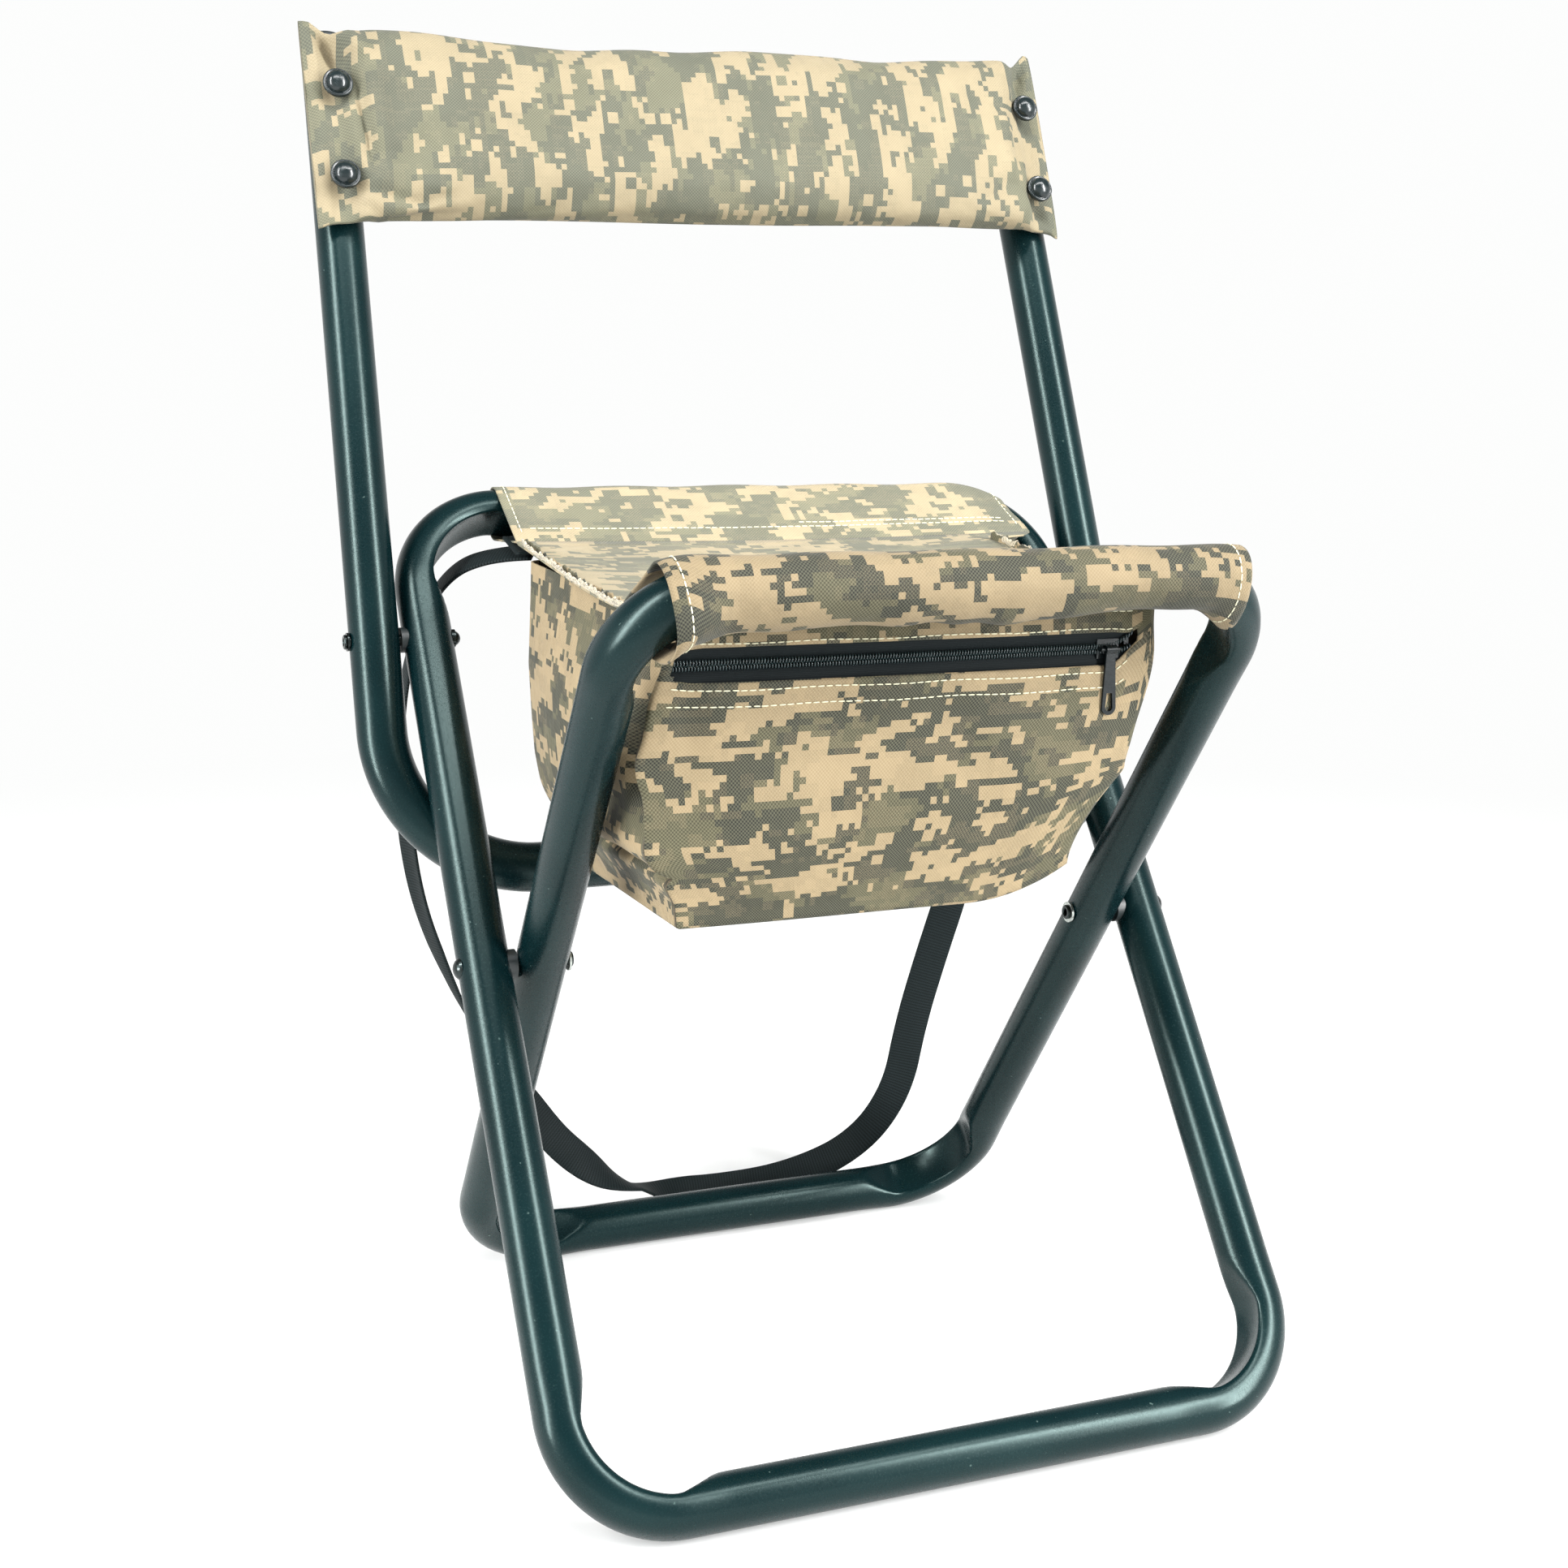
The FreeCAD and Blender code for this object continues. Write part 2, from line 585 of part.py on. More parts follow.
def zip_slider():
    """Two plates joined by a wedge between the tapes, with a bail for the pull."""
    y0 = BAG_FRONT_Y + CLOTH_T
    half = SLIDER_HALF
    x0, x1 = SLIDER_X - half, SLIDER_X + half
    low, high = ZIP_Z - SLIDER_HALF_H, ZIP_Z + SLIDER_HALF_H
    y_front, y_rear = y0 - SLIDER_MOUTH, y0 + ZIP_TAPE_T + 0.4
    front = block(x0, x1, y_front - SLIDER_PLATE_T, y_front, low, high)
    rear = block(x0, x1, y_rear, y_rear + SLIDER_PLATE_T, low, high)
    middle = (ZIP_Z - WEDGE_HALF, ZIP_Z + WEDGE_HALF)
    wedge = block(SLIDER_X + half / 2, x1, y_front - 0.5, y_rear + 0.5, *middle)
    feet = [block(x, x + FOOT_W, BAIL_Y, y_front - 1, ZIP_Z - BAIL_R, ZIP_Z + BAIL_R)
            for x in (SLIDER_X - BAIL_HALF, SLIDER_X + BAIL_HALF - FOOT_W)]
    return fused([front, rear, wedge, bail_rod(BAIL_R, BAIL_HALF)] + feet)


def pull_plate(half_top, half_low, top, bottom):
    """Flat plate in front view, wider and rounded at its lower end."""
    y = PIVOT_Y + BAIL_Y - PULL_T / 2
    x, low = SLIDER_X, bottom + half_low
    edges = [Part.LineSegment(V(x - half_low, y, low), V(x - half_top, y, top)).toShape()]
    edges.append(Part.LineSegment(V(x - half_top, y, top), V(x + half_top, y, top)).toShape())
    edges.append(Part.LineSegment(V(x + half_top, y, top), V(x + half_low, y, low)).toShape())
    edges.append(Part.Arc(V(x + half_low, y, low), V(x, y, bottom), V(x - half_low, y, low)).toShape())
    return Part.Face(Part.Wire(edges)).extrude(V(0, PULL_T, 0))


def zip_pull():
    """Long flat pull: an eye round the bail and a widening tab with an oval finger hole."""
    top, bottom = ZIP_Z - 1.2, ZIP_Z - PULL_LENGTH
    tab = pull_plate(PULL_HALF_TOP, PULL_HALF_LOW, top, bottom)
    hole_halves = (PULL_HALF_TOP - PULL_HOLE_LOW / 2, PULL_HALF_LOW - PULL_HOLE_LOW)
    hole = pull_plate(*hole_halves, bottom + PULL_HOLE_HIGH, bottom + PULL_HOLE_LOW)
    eye = bail_rod(BAIL_R + 1.0, EYE_HALF)
    return fused([eye, tab.cut(hole)]).cut(bail_rod(BAIL_R + RUNNING_CLEARANCE, BAIL_HALF))


# ---------------------------------------------------------------- strap

def strap_corners():
    """Route points in the part's frame."""
    return [V(x, PIVOT_Y + y, z) for x, y, z in STRAP_ROUTE]


def strap_radii(corners):
    """The largest arc each corner's two runs allow."""
    radii = [0.0] * len(corners)
    for i in range(1, len(corners) - 1):
        before, after = corners[i] - corners[i - 1], corners[i + 1] - corners[i]
        turn = before.getAngle(after)
        radii[i] = 0.45 * min(before.Length, after.Length) / math.tan(turn / 2)
    return radii


def carry_strap():
    """Strap body along its route."""
    corners = strap_corners()
    radii = strap_radii(corners)
    strap = tube_solid(corners, radii, STRAP_R)
    print("strap bend radii", [round(r) for r in radii[1:-1]])
    print("strap length", round(strap.Volume / (math.pi * STRAP_R ** 2), 1))
    return strap


def strap_tab():
    """Strap end sewn flat under the seat's rear left corner."""
    (y1, z1), (y2, z2) = seat_line()[1:]
    slope = (z2 - z1) / (y2 - y1)
    ends = [PIVOT_Y + TAB_FRONT_Y, PIVOT_Y + TAB_REAR_Y]
    lower = [(y, z1 + (y - y1) * slope - CLOTH_T) for y in ends]
    return ribbon_slab(lower, TAB_T, -SEAT_HALF_W, -SEAT_HALF_W + TAB_W)


# ---------------------------------------------------------------- export

def main():
    os.makedirs("parts", exist_ok=True)
    export("outer_leg_frame", outer_loop())
    export("inner_leg_frame", inner_loop())
    export("backrest_frame", back_hoop())
    export("outer_frame_spigot", joint_spigot(OUTER_UP, OUTER_UPPER))
    export("inner_frame_spigot", joint_spigot(INNER_UP, INNER_UPPER))
    export("backrest_end_plugs", Part.makeCompound([end_plug(-1), end_plug(1)]))
    export("leg_pivot_rivets", both_sides(leg_rivet()))
    export("leg_pivot_spacers", both_sides(leg_spacer()))
    export("leg_pivot_washers", both_sides(leg_washer()))
    export("back_pivot_rivets", both_sides(back_rivet()))
    export("back_pivot_outer_washers", both_sides(back_outer_washer()))
    export("back_pivot_spacers", both_sides(back_spacer()))
    export("back_pivot_inner_washers", both_sides(back_inner_washer()))
    export("back_panel", back_panel())
    places = [(sign, level) for sign in (-1, 1) for level in SCREW_LEVELS]
    export("back_panel_washers", Part.makeCompound([panel_washer(*p) for p in places]))
    export("back_panel_screws", Part.makeCompound([panel_screw(*p) for p in places]))
    export("rear_seat_sleeve", sleeve(OUTER_HALF_W, OUTER_UP, OUTER_UPPER, REAR_SLEEVE_LEFT, REAR_SLEEVE_RIGHT))
    front = sleeve(INNER_HALF_W, INNER_UP, INNER_UPPER, FRONT_SLEEVE_LEFT, FRONT_SLEEVE_RIGHT)
    export("front_seat_sleeve", front)
    export("seat_panel", seat_panel())
    export("seat_apron", seat_apron())
    for name, shape in bag_parts().items():
        export(name, shape)
    export("bag_seam_bindings", both_sides(seam_binding()))
    export("zip_tape_upper", zip_tape(1))
    export("zip_tape_lower", zip_tape(-1))
    export("zip_teeth", zip_teeth())
    export("zip_end_stops", zip_stops())
    export("zip_slider", zip_slider())
    export("zip_pull", zip_pull())
    export("carry_strap", carry_strap())
    export("carry_strap_tabs", both_sides(strap_tab()))


main()
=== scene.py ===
import json
import math
import random
import bpy
import numpy as np
from mathutils import Matrix, Vector


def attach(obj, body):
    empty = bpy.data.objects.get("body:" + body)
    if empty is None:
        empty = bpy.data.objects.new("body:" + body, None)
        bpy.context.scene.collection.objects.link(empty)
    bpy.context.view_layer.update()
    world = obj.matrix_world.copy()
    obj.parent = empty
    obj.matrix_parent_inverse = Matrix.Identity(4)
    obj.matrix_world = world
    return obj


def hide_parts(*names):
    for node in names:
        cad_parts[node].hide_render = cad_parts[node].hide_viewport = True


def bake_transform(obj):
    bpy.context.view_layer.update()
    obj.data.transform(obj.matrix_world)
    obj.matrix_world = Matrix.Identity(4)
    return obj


# Folding camp stool: tube loops, cloth seat with a zipped bag, padded back panel and carry strap.
# Shapes are worked out in millimetres in the part's frame and written to meshes in metres.

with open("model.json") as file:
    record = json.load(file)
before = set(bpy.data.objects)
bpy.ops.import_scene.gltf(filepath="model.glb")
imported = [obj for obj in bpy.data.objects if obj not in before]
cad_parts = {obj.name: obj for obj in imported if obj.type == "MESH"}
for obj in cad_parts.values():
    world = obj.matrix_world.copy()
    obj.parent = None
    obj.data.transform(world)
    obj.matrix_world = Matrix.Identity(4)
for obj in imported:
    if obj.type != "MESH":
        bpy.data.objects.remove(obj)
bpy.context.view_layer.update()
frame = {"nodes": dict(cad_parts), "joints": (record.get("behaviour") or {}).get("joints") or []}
JOINTS = {j["name"]: j for j in frame["joints"]}
PIVOT = np.array(JOINTS["leg_fold"]["pos_m"]) * 1000
BACK_PIVOT = np.array(JOINTS["back_fold"]["pos_m"]) * 1000
X_AXIS = np.array([1.0, 0.0, 0.0])
Y_AXIS = np.array([0.0, 1.0, 0.0])

# Frame tubes, as in the CAD model
TUBE_R = 11.0
TUBE_WALL = 1.2
LOOP_BEND_R = 42.0
BACK_BEND_R = 64.0
OUTER_LOWER, OUTER_UPPER, OUTER_HALF_W = 227.0, 222.0, 156.5
INNER_LOWER, INNER_UPPER, INNER_HALF_W = 224.0, 209.0, 132.0
BACK_DROP, BACK_RISE, BACK_HALF_W, BACK_TAPER = 106.0, 286.0, 180.5, 0.018
OUTER_LEAN = math.acos((PIVOT[2] - TUBE_R) / OUTER_LOWER)
INNER_LEAN = math.acos((PIVOT[2] - TUBE_R) / INNER_LOWER)
BACK_LEAN = OUTER_LEAN - math.radians(14.1)
OUTER_UP = np.array([0, math.sin(OUTER_LEAN), math.cos(OUTER_LEAN)])
INNER_UP = np.array([0, -math.sin(INNER_LEAN), math.cos(INNER_LEAN)])
BACK_UP = np.array([0, math.sin(BACK_LEAN), math.cos(BACK_LEAN)])
BACK_FRONT = np.array([0, -math.cos(BACK_LEAN), math.sin(BACK_LEAN)])

random.seed(7)


def rel(x, y, z):
    """Point with y measured from the leg pivot line."""
    return np.array([x, PIVOT[1] + y, z], float)


def smooth_step(x, low, high):
    """0 below low, 1 above high, smooth between."""
    t = np.clip((np.asarray(x, float) - low) / (high - low), 0, 1)
    return t * t * (3 - 2 * t)


def bell(x, centre, width):
    """Round bump of height 1."""
    return np.exp(-((np.asarray(x, float) - centre) / width) ** 2)


# ---------------------------------------------------------------- camera

CAMERA_AT = Vector((-0.361956, -0.871566, 0.443134))
CAMERA_RIGHT = Vector((0.927826, -0.372743, 0.014209))
CAMERA_BACK = Vector((-0.368052, -0.908626, 0.197321))
CAMERA_LENS = 48.847


def make_camera():
    data = bpy.data.cameras.new("camera")
    data.lens = CAMERA_LENS
    data.sensor_width = 36.0
    data.clip_start = 0.01
    camera = bpy.data.objects.new("camera", data)
    bpy.context.scene.collection.objects.link(camera)
    back = CAMERA_BACK.normalized()
    up = back.cross(CAMERA_RIGHT).normalized()
    right = up.cross(back)
    turn = Matrix((right, up, back)).transposed()
    camera.matrix_world = Matrix.Translation(CAMERA_AT) @ turn.to_4x4()
    bpy.context.scene.camera = camera


# ---------------------------------------------------------------- mesh helpers

def grid_faces(rows, cols, wrap_cols=False, start=0, flip=False):
    """Quads of a grid of points, row after row."""
    faces = []
    for i in range(rows - 1):
        here = start + i * cols
        for j in range(cols if wrap_cols else cols - 1):
            k = (j + 1) % cols
            quad = (here + j, here + k, here + cols + k, here + cols + j)
            faces.append(quad[::-1] if flip else quad)
    return faces


def add_piece(name, points, faces, material, body=None, cloth=None):
    """Mesh object from points in millimetres; cloth is each point's place on the flat cloth."""
    mesh = bpy.data.meshes.new(name)
    mesh.from_pydata((np.asarray(points, float) / 1000).tolist(), [], faces)
    mesh.polygons.foreach_set("use_smooth", [True] * len(mesh.polygons))
    if cloth is not None:
        values = mesh.attributes.new("cloth", "FLOAT_VECTOR", "POINT")
        values.data.foreach_set("vector", np.asarray(cloth, np.float32).ravel())
    mesh.materials.append(material)
    mesh.update()
    obj = bpy.data.objects.new(name, mesh)
    bpy.context.scene.collection.objects.link(obj)
    if body:
        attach(obj, body)
    return obj


def grid_normals(grid, wrap_cols=False):
    """Unit normals of a grid surface."""
    down = np.gradient(grid, axis=0)
    across = np.roll(grid, -1, 1) - np.roll(grid, 1, 1) if wrap_cols else np.gradient(grid, axis=1)
    normal = np.cross(down, across)
    return normal / np.maximum(np.linalg.norm(normal, axis=2, keepdims=True), 1e-9)


def thick_sheet(grid, cloth, thickness, wrap_cols=False, skip=None):
    """Points, faces and cloth places of a sheet with two faces and its rims."""
    rows, cols = grid.shape[:2]
    half = grid_normals(grid, wrap_cols) * thickness / 2
    points = np.concatenate([(grid + half).reshape(-1, 3), (grid - half).reshape(-1, 3)])
    both = np.concatenate([cloth.reshape(-1, 3)] * 2)
    count = rows * cols
    keep = grid_faces(rows, cols, wrap_cols)
    if skip:
        keep = [f for f in keep if not skip(f[0] // cols, f[0] % cols)]
    edges = {}
    for f in keep:
        for a, b in zip(f, f[1:] + f[:1]):
            edges[(a, b)] = edges.get((a, b), 0) + 1
    faces = [f[::-1] for f in keep] + [tuple(count + v for v in f) for f in keep]
    for a, b in edges:
        if (b, a) not in edges:
            faces.append((a, b, count + b, count + a))
    return points, faces, both


def cloth_piece(name, grid, cloth, body, material, slot="camouflage_cloth", thickness=0.9, **options):
    """Sheet of cloth as a piece."""
    points, faces, both = thick_sheet(grid, cloth, thickness, **options)
    return add_piece(name, points, faces, material, body, both)


def lengths_along(points):
    """Distance from the first point along a line of points."""
    steps = np.linalg.norm(np.diff(points, axis=0), axis=1)
    return np.concatenate([[0.0], np.cumsum(steps)])


def as_grid(across, down, third):
    """Grid of three values for each point; a single row, column or number is spread over the grid."""
    return np.stack(np.broadcast_arrays(across, down, third), axis=2).astype(float)


def grid_cloth(grid, number):
    """Cloth places of a grid, measured along its middle row and each column; each sheet has a number."""
    down = np.stack([lengths_along(grid[:, j]) for j in range(grid.shape[1])], axis=1)
    return as_grid(lengths_along(grid[len(grid) // 2]), down, number)


def at_length(line, where):
    """Points at distances along a line."""
    s = lengths_along(line)
    return np.stack([np.interp(where, s, line[:, k]) for k in range(3)], axis=1)


BEAD_SIDES = 6


def add_bead(points, faces, centres, widths, across, over):
    """Closed six-sided bead: a ring round each centre, with two half axes."""
    start = len(points)
    for centre, width in zip(centres, widths):
        for j in range(BEAD_SIDES):
            turn = 2 * math.pi * j / BEAD_SIDES
            points.append(centre + (across * math.cos(turn) + over * math.sin(turn)) * width)
    last = len(points) - BEAD_SIDES
    faces += grid_faces(len(centres), BEAD_SIDES, wrap_cols=True, start=start)
    faces += [tuple(start + j for j in range(BEAD_SIDES))[::-1], tuple(last + j for j in range(BEAD_SIDES))]


# ---------------------------------------------------------------- materials

class Surface:
    """Node material with one Principled shader."""

    def __init__(self, name):
        self.material = bpy.data.materials.new(name)
        self.material.use_nodes = True
        self.tree = self.material.node_tree
        self.shader = self.tree.nodes["Principled BSDF"]

    def put(self, socket, value):
        if isinstance(value, bpy.types.NodeSocket):
            self.tree.links.new(value, socket)
        else:
            socket.default_value = value

    def node(self, kind, inputs=(), **settings):
        made = self.tree.nodes.new("ShaderNode" + kind)
        for key, value in settings.items():
            setattr(made, key, value)
        for key, value in dict(inputs).items():
            self.put(made.inputs[key], value)
        return made

    def math(self, operation, a, b=0.0):
        return self.node("Math", {0: a, 1: b}, operation=operation).outputs[0]

    def ripple(self, value, turns):
        """Sine wave with a number of radians for each millimetre."""
        return self.math("SINE", self.math("MULTIPLY", value, turns))

    def vector(self, operation, a, b=(0, 0, 0)):
        return self.node("VectorMath", {0: a, 1: b}, operation=operation).outputs[0]

    def mix(self, factor, a, b):
        return self.node("Mix", {0: factor, 6: a, 7: b}, data_type="RGBA").outputs[2]

    def noise(self, place, scale, detail=2.0, rough=0.5):
        inputs = {"Vector": place, "Scale": scale, "Detail": detail, "Roughness": rough}
        return self.node("TexNoise", inputs).outputs[0]

    def between(self, value, low, high, to_low=0.0, to_high=1.0):
        return self.node("MapRange", {0: value, 1: low, 2: high, 3: to_low, 4: to_high}).outputs[0]

    def split(self, place):
        return self.node("SeparateXYZ", {0: place}).outputs

    def object_place(self):
        """Place in the part's frame, in millimetres."""
        place = self.node("TexCoord").outputs["Object"]
        return self.vector("MULTIPLY", place, (1000, 1000, 1000))

    def cloth_place(self):
        """Place on the flat cloth, in millimetres."""
        return self.node("Attribute", attribute_name="cloth").outputs["Vector"]

    def set(self, **values):
        names = {"color": "Base Color", "rough": "Roughness", "metal": "Metallic", "coat": "Coat Weight",
                 "coat_rough": "Coat Roughness", "specular": "Specular IOR Level", "sheen": "Sheen Weight",
                 "sheen_rough": "Sheen Roughness", "tint": "Specular Tint"}
        for key, value in values.items():
            self.put(self.shader.inputs[names[key]], value)

    def bump(self, *heights):
        """Bumps from (height, strength) pairs, one on another."""
        normal = None
        for height, strength in heights:
            made = self.node("Bump", {"Height": height, "Strength": strength, "Distance": 0.001})
            if normal is not None:
                self.tree.links.new(normal, made.inputs["Normal"])
            normal = made.outputs["Normal"]
        self.tree.links.new(normal, self.shader.inputs["Normal"])


TAN = (0.297, 0.231, 0.139, 1)
TAN_LOW = (0.252, 0.192, 0.110, 1)
GREY_DARK = (0.015, 0.016, 0.013, 1)
GREY_LIGHT = (0.079, 0.078, 0.052, 1)
KHAKI_DARK = (0.049, 0.046, 0.025, 1)
KHAKI_LIGHT = (0.123, 0.115, 0.071, 1)
# Printed cells, the larger lone cells, and the patches that they make up, along and across the cloth
CELL = (2.8, 2.6, 1.0)
BIG_CELL = (5.6, 5.2, 1.0)
PATCH_SIZE = (1 / 34, 1 / 17, 3.7)
TONE_SIZE = (1 / 30, 1 / 16, 2.9)
TONE_SHIFT = (311, 97, 5)
LONE_LIGHT, LONE_DARK, LONE_STEP = 0.955, 0.035, 0.12
TAN_FROM, GREY_FROM = 0.522, 0.462
WEAVE_PITCH = 1.5


def camouflage(name, painted_light_scale=1.0, painted_sheen_colour=(0, 0, 0, 1), painted_sheen_share=0.0):
    """Printed cloth: square cells in tan, grey and khaki over a weave of light and dark threads, with a
    random wear tone, a painted light scale for lit and shaded copies, and a painted sheen mixed over the
    print.
    """
    s = Surface(name)
    place = s.cloth_place()
    cell = s.vector("SNAP", place, CELL)
    big = s.vector("SNAP", place, BIG_CELL)
    patch = s.noise(s.vector("MULTIPLY", cell, PATCH_SIZE), 1.0, 4.4, 0.69)
    shifted = s.vector("ADD", cell, TONE_SHIFT)
    tone = s.noise(s.vector("MULTIPLY", shifted, TONE_SIZE), 1.0, 2.6, 0.6)
    lone = s.node("TexWhiteNoise", {"Vector": big}, noise_dimensions="3D").outputs["Value"]
    light = s.math("MULTIPLY", s.math("GREATER_THAN", lone, LONE_LIGHT), LONE_STEP)
    dark = s.math("MULTIPLY", s.math("LESS_THAN", lone, LONE_DARK), LONE_STEP)
    is_tan = s.math("GREATER_THAN", s.math("SUBTRACT", s.math("ADD", patch, light), dark), TAN_FROM)
    is_grey = s.math("GREATER_THAN", tone, GREY_FROM)
    u, v = s.split(place)[:2]
    turns = 2 * math.pi / WEAVE_PITCH
    weave = s.between(s.math("MULTIPLY", s.ripple(u, turns), s.ripple(v, turns)), -0.55, 0.55)
    tan = s.mix(weave, TAN_LOW, TAN)
    grey = s.mix(weave, GREY_DARK, GREY_LIGHT)
    khaki = s.mix(weave, KHAKI_DARK, KHAKI_LIGHT)
    # Painted sheen: a pale colour mixed over the print, standing in for light glancing off the cloth.
    print_and_painted_sheen = s.mix(painted_sheen_share, s.mix(is_tan, s.mix(is_grey, khaki, grey), tan), painted_sheen_colour)
    wear = s.noise(place, 0.05, 3.0, 0.6)
    # Random wear tone, times the painted light scale that makes a copy of the cloth lighter or darker for
    # how the light falls on it.
    wear_and_painted_light = s.between(wear, 0.3, 0.7, 0.93 * painted_light_scale, 1.04 * painted_light_scale)
    tint = s.node("CombineXYZ", {0: wear_and_painted_light, 1: wear_and_painted_light, 2: s.math("MULTIPLY", wear_and_painted_light, 0.98)}).outputs[0]
    s.set(color=s.vector("MULTIPLY", print_and_painted_sheen, tint), rough=s.between(weave, 0, 1, 0.82, 0.68))
    s.set(specular=0.28, sheen=0.08, sheen_rough=0.45)
    crumple = s.noise(place, 0.09, 3.0, 0.55)
    s.bump((crumple, 0.9), (weave, 0.11))
    return s.material


def frame_paint():
    """Dark green-black stove enamel with a fine orange peel and a few pits."""
    s = Surface("frame_paint")
    place = s.object_place()
    cloud = s.noise(place, 0.02, 2.0)
    peel = s.noise(place, 1.1, 2.0, 0.55)
    pits = s.noise(place, 0.42, 1.0)
    pit = s.between(pits, 0.775, 0.80)
    color = s.mix(s.between(cloud, 0.35, 0.65), (0.0008, 0.0075, 0.0090, 1), (0.0020, 0.0115, 0.0130, 1))
    s.set(color=s.mix(pit, color, (0.05, 0.08, 0.075, 1)), rough=s.between(peel, 0.3, 0.7, 0.23, 0.29))
    s.set(specular=0.27, tint=(0.74, 1.0, 0.96, 1))
    s.bump((peel, 0.010), (pit, 0.03))
    return s.material


def plain_metal(name, color, rough, metal=1.0, coat=0.0):
    """Plated or painted metal with small scratches and tarnish."""
    s = Surface(name)
    place = s.object_place()
    tarnish = s.noise(place, 0.45, 3.0, 0.6)
    grain = s.noise(s.vector("MULTIPLY", place, (0.3, 1, 4)), 3.0, 2.0)
    dark = tuple(c * 0.62 for c in color[:3]) + (1,)
    s.set(color=s.mix(s.between(tarnish, 0.35, 0.65), dark, color), metal=metal, coat=coat)
    s.set(rough=s.between(grain, 0.3, 0.7, rough * 0.8, rough * 1.25))
    s.set(specular=0.5 if metal > 0.5 else 0.22)
    s.bump((grain, 0.02), (tarnish, 0.03))
    return s.material


def moulded_plastic(name, color, rough, texture=0.035):
    """Black moulded plastic with a fine spark texture and scuffs."""
    s = Surface(name)
    place = s.object_place()
    grain = s.noise(place, 3.5, 2.0)
    scuff = s.noise(place, 0.25, 3.0, 0.7)
    worn = tuple(min(1, c * 2.2 + 0.012) for c in color[:3]) + (1,)
    s.set(color=s.mix(s.between(scuff, 0.52, 0.75, 0, 0.6), color, worn), specular=0.5)
    s.set(rough=s.between(scuff, 0.35, 0.65, rough, rough + 0.14))
    s.bump((grain, texture),)
    return s.material


def woven_band(name, dark, light, rib_pitch, cross_pitch):
    """Narrow woven band: ribs across it, each made of small upright threads."""
    s = Surface(name)
    u, v = s.split(s.cloth_place())[:2]
    rib = s.ripple(v, 2 * math.pi / rib_pitch)
    thread = s.math("MULTIPLY", rib, s.ripple(u, 2 * math.pi / cross_pitch))
    both = s.math("ADD", s.math("MULTIPLY", rib, 0.6), s.math("MULTIPLY", thread, 0.6))
    weave = s.between(both, -0.9, 0.9)
    fuzz = s.noise(s.cloth_place(), 1.3, 3.0, 0.6)
    s.set(color=s.mix(s.math("MULTIPLY", weave, s.between(fuzz, 0.3, 0.7, 0.6, 1.0)), dark, light))
    s.set(rough=s.between(weave, 0, 1, 0.8, 0.62), specular=0.16, sheen=0.02, sheen_rough=0.4)
    s.bump((fuzz, 0.04), (weave, 0.16))
    return s.material


def thread_material():
    """Cream sewing thread with its twist."""
    s = Surface("sewing_thread")
    place = s.object_place()
    twist = s.ripple(s.math("ADD", s.split(place)[0], s.split(place)[2]), 16.0)
    color = s.mix(s.between(twist, -1, 1), (0.55, 0.52, 0.33, 1), (0.83, 0.82, 0.62, 1))
    s.set(color=color, rough=0.6, specular=0.3, sheen=0.2)
    s.bump((twist, 0.05),)
    return s.material


def fray_material():
    """Cut edge of the seat cloth: loose light threads with dark ones between."""
    s = Surface("frayed_edge")
    strand = s.noise(s.vector("MULTIPLY", s.cloth_place(), (2.4, 0.5, 1)), 1.0, 2.0, 0.7)
    color = s.mix(s.between(strand, 0.42, 0.56), (0.05, 0.045, 0.035, 1), (0.66, 0.58, 0.42, 1))
    s.set(color=color, rough=0.85, specular=0.2, sheen=0.3)
    s.bump((strand, 0.3),)
    return s.material


CAMO = camouflage("camouflage_cloth")
# Lit and shaded copies of the cloth: the panel and seat have a painted sheen mixed in, the seat is painted
# lighter and the sleeve is painted darker as painted light and painted shade.
CAMO_PANEL = camouflage("camouflage_cloth_panel_painted_sheen", 1.0, (0.185, 0.195, 0.150, 1), 0.28)
CAMO_SEAT = camouflage("camouflage_cloth_seat_painted_light", 1.08, (0.41, 0.41, 0.31, 1), 0.20)
CAMO_SLEEVE = camouflage("camouflage_cloth_sleeve_painted_shade", 0.80)
PAINT = frame_paint()
STEEL = plain_metal("bare_steel", (0.52, 0.52, 0.50, 1), 0.38)
RIVET = plain_metal("dark_rivet", (0.030, 0.040, 0.040, 1), 0.30, coat=0.25)
ZINC = plain_metal("zinc", (0.60, 0.64, 0.60, 1), 0.30)
PLASTIC = moulded_plastic("black_plastic", (0.012, 0.017, 0.018, 1), 0.38)
SCREW = moulded_plastic("black_screw", (0.006, 0.011, 0.012, 1), 0.16, 0.008)
ZIP_METAL = plain_metal("zip_metal", (0.005, 0.009, 0.010, 1), 0.30, metal=0.1, coat=0.15)
COIL = moulded_plastic("zip_coil", (0.014, 0.026, 0.028, 1), 0.20)
WEBBING = woven_band("webbing", (0.0010, 0.0026, 0.0030, 1), (0.0095, 0.0170, 0.0180, 1), 1.5, 1.1)
TAPE = woven_band("zip_tape", (0.0010, 0.0028, 0.0034, 1), (0.0040, 0.0085, 0.0098, 1), 0.7, 0.7)
THREAD = thread_material()
FRAY = fray_material()


# ---------------------------------------------------------------- carry strap

STRAP_WIDTH = 17.0
STRAP_T = 1.5
STRAP_ROUTE = [
    (-106, 98, 354.9), (-122, 108, 354), (-141, 124, 344), (-154, 144, 312), (-159, 152, 266),
    (-157, 153, 222), (-150, 153, 179), (-137, 153, 140), (-119, 152, 106), (-99, 154, 73),
    (-76, 155, 42), (-43, 157, 18), (0, 159, 9.5), (45, 158, 11.5), (86, 156, 26), (108, 154, 55),
    (114, 152, 92), (124, 150, 130), (136, 148, 169), (145, 148, 212), (150, 148, 258),
    (147, 146, 301), (137, 131, 336), (121, 113, 352), (106, 98, 354.9),
]
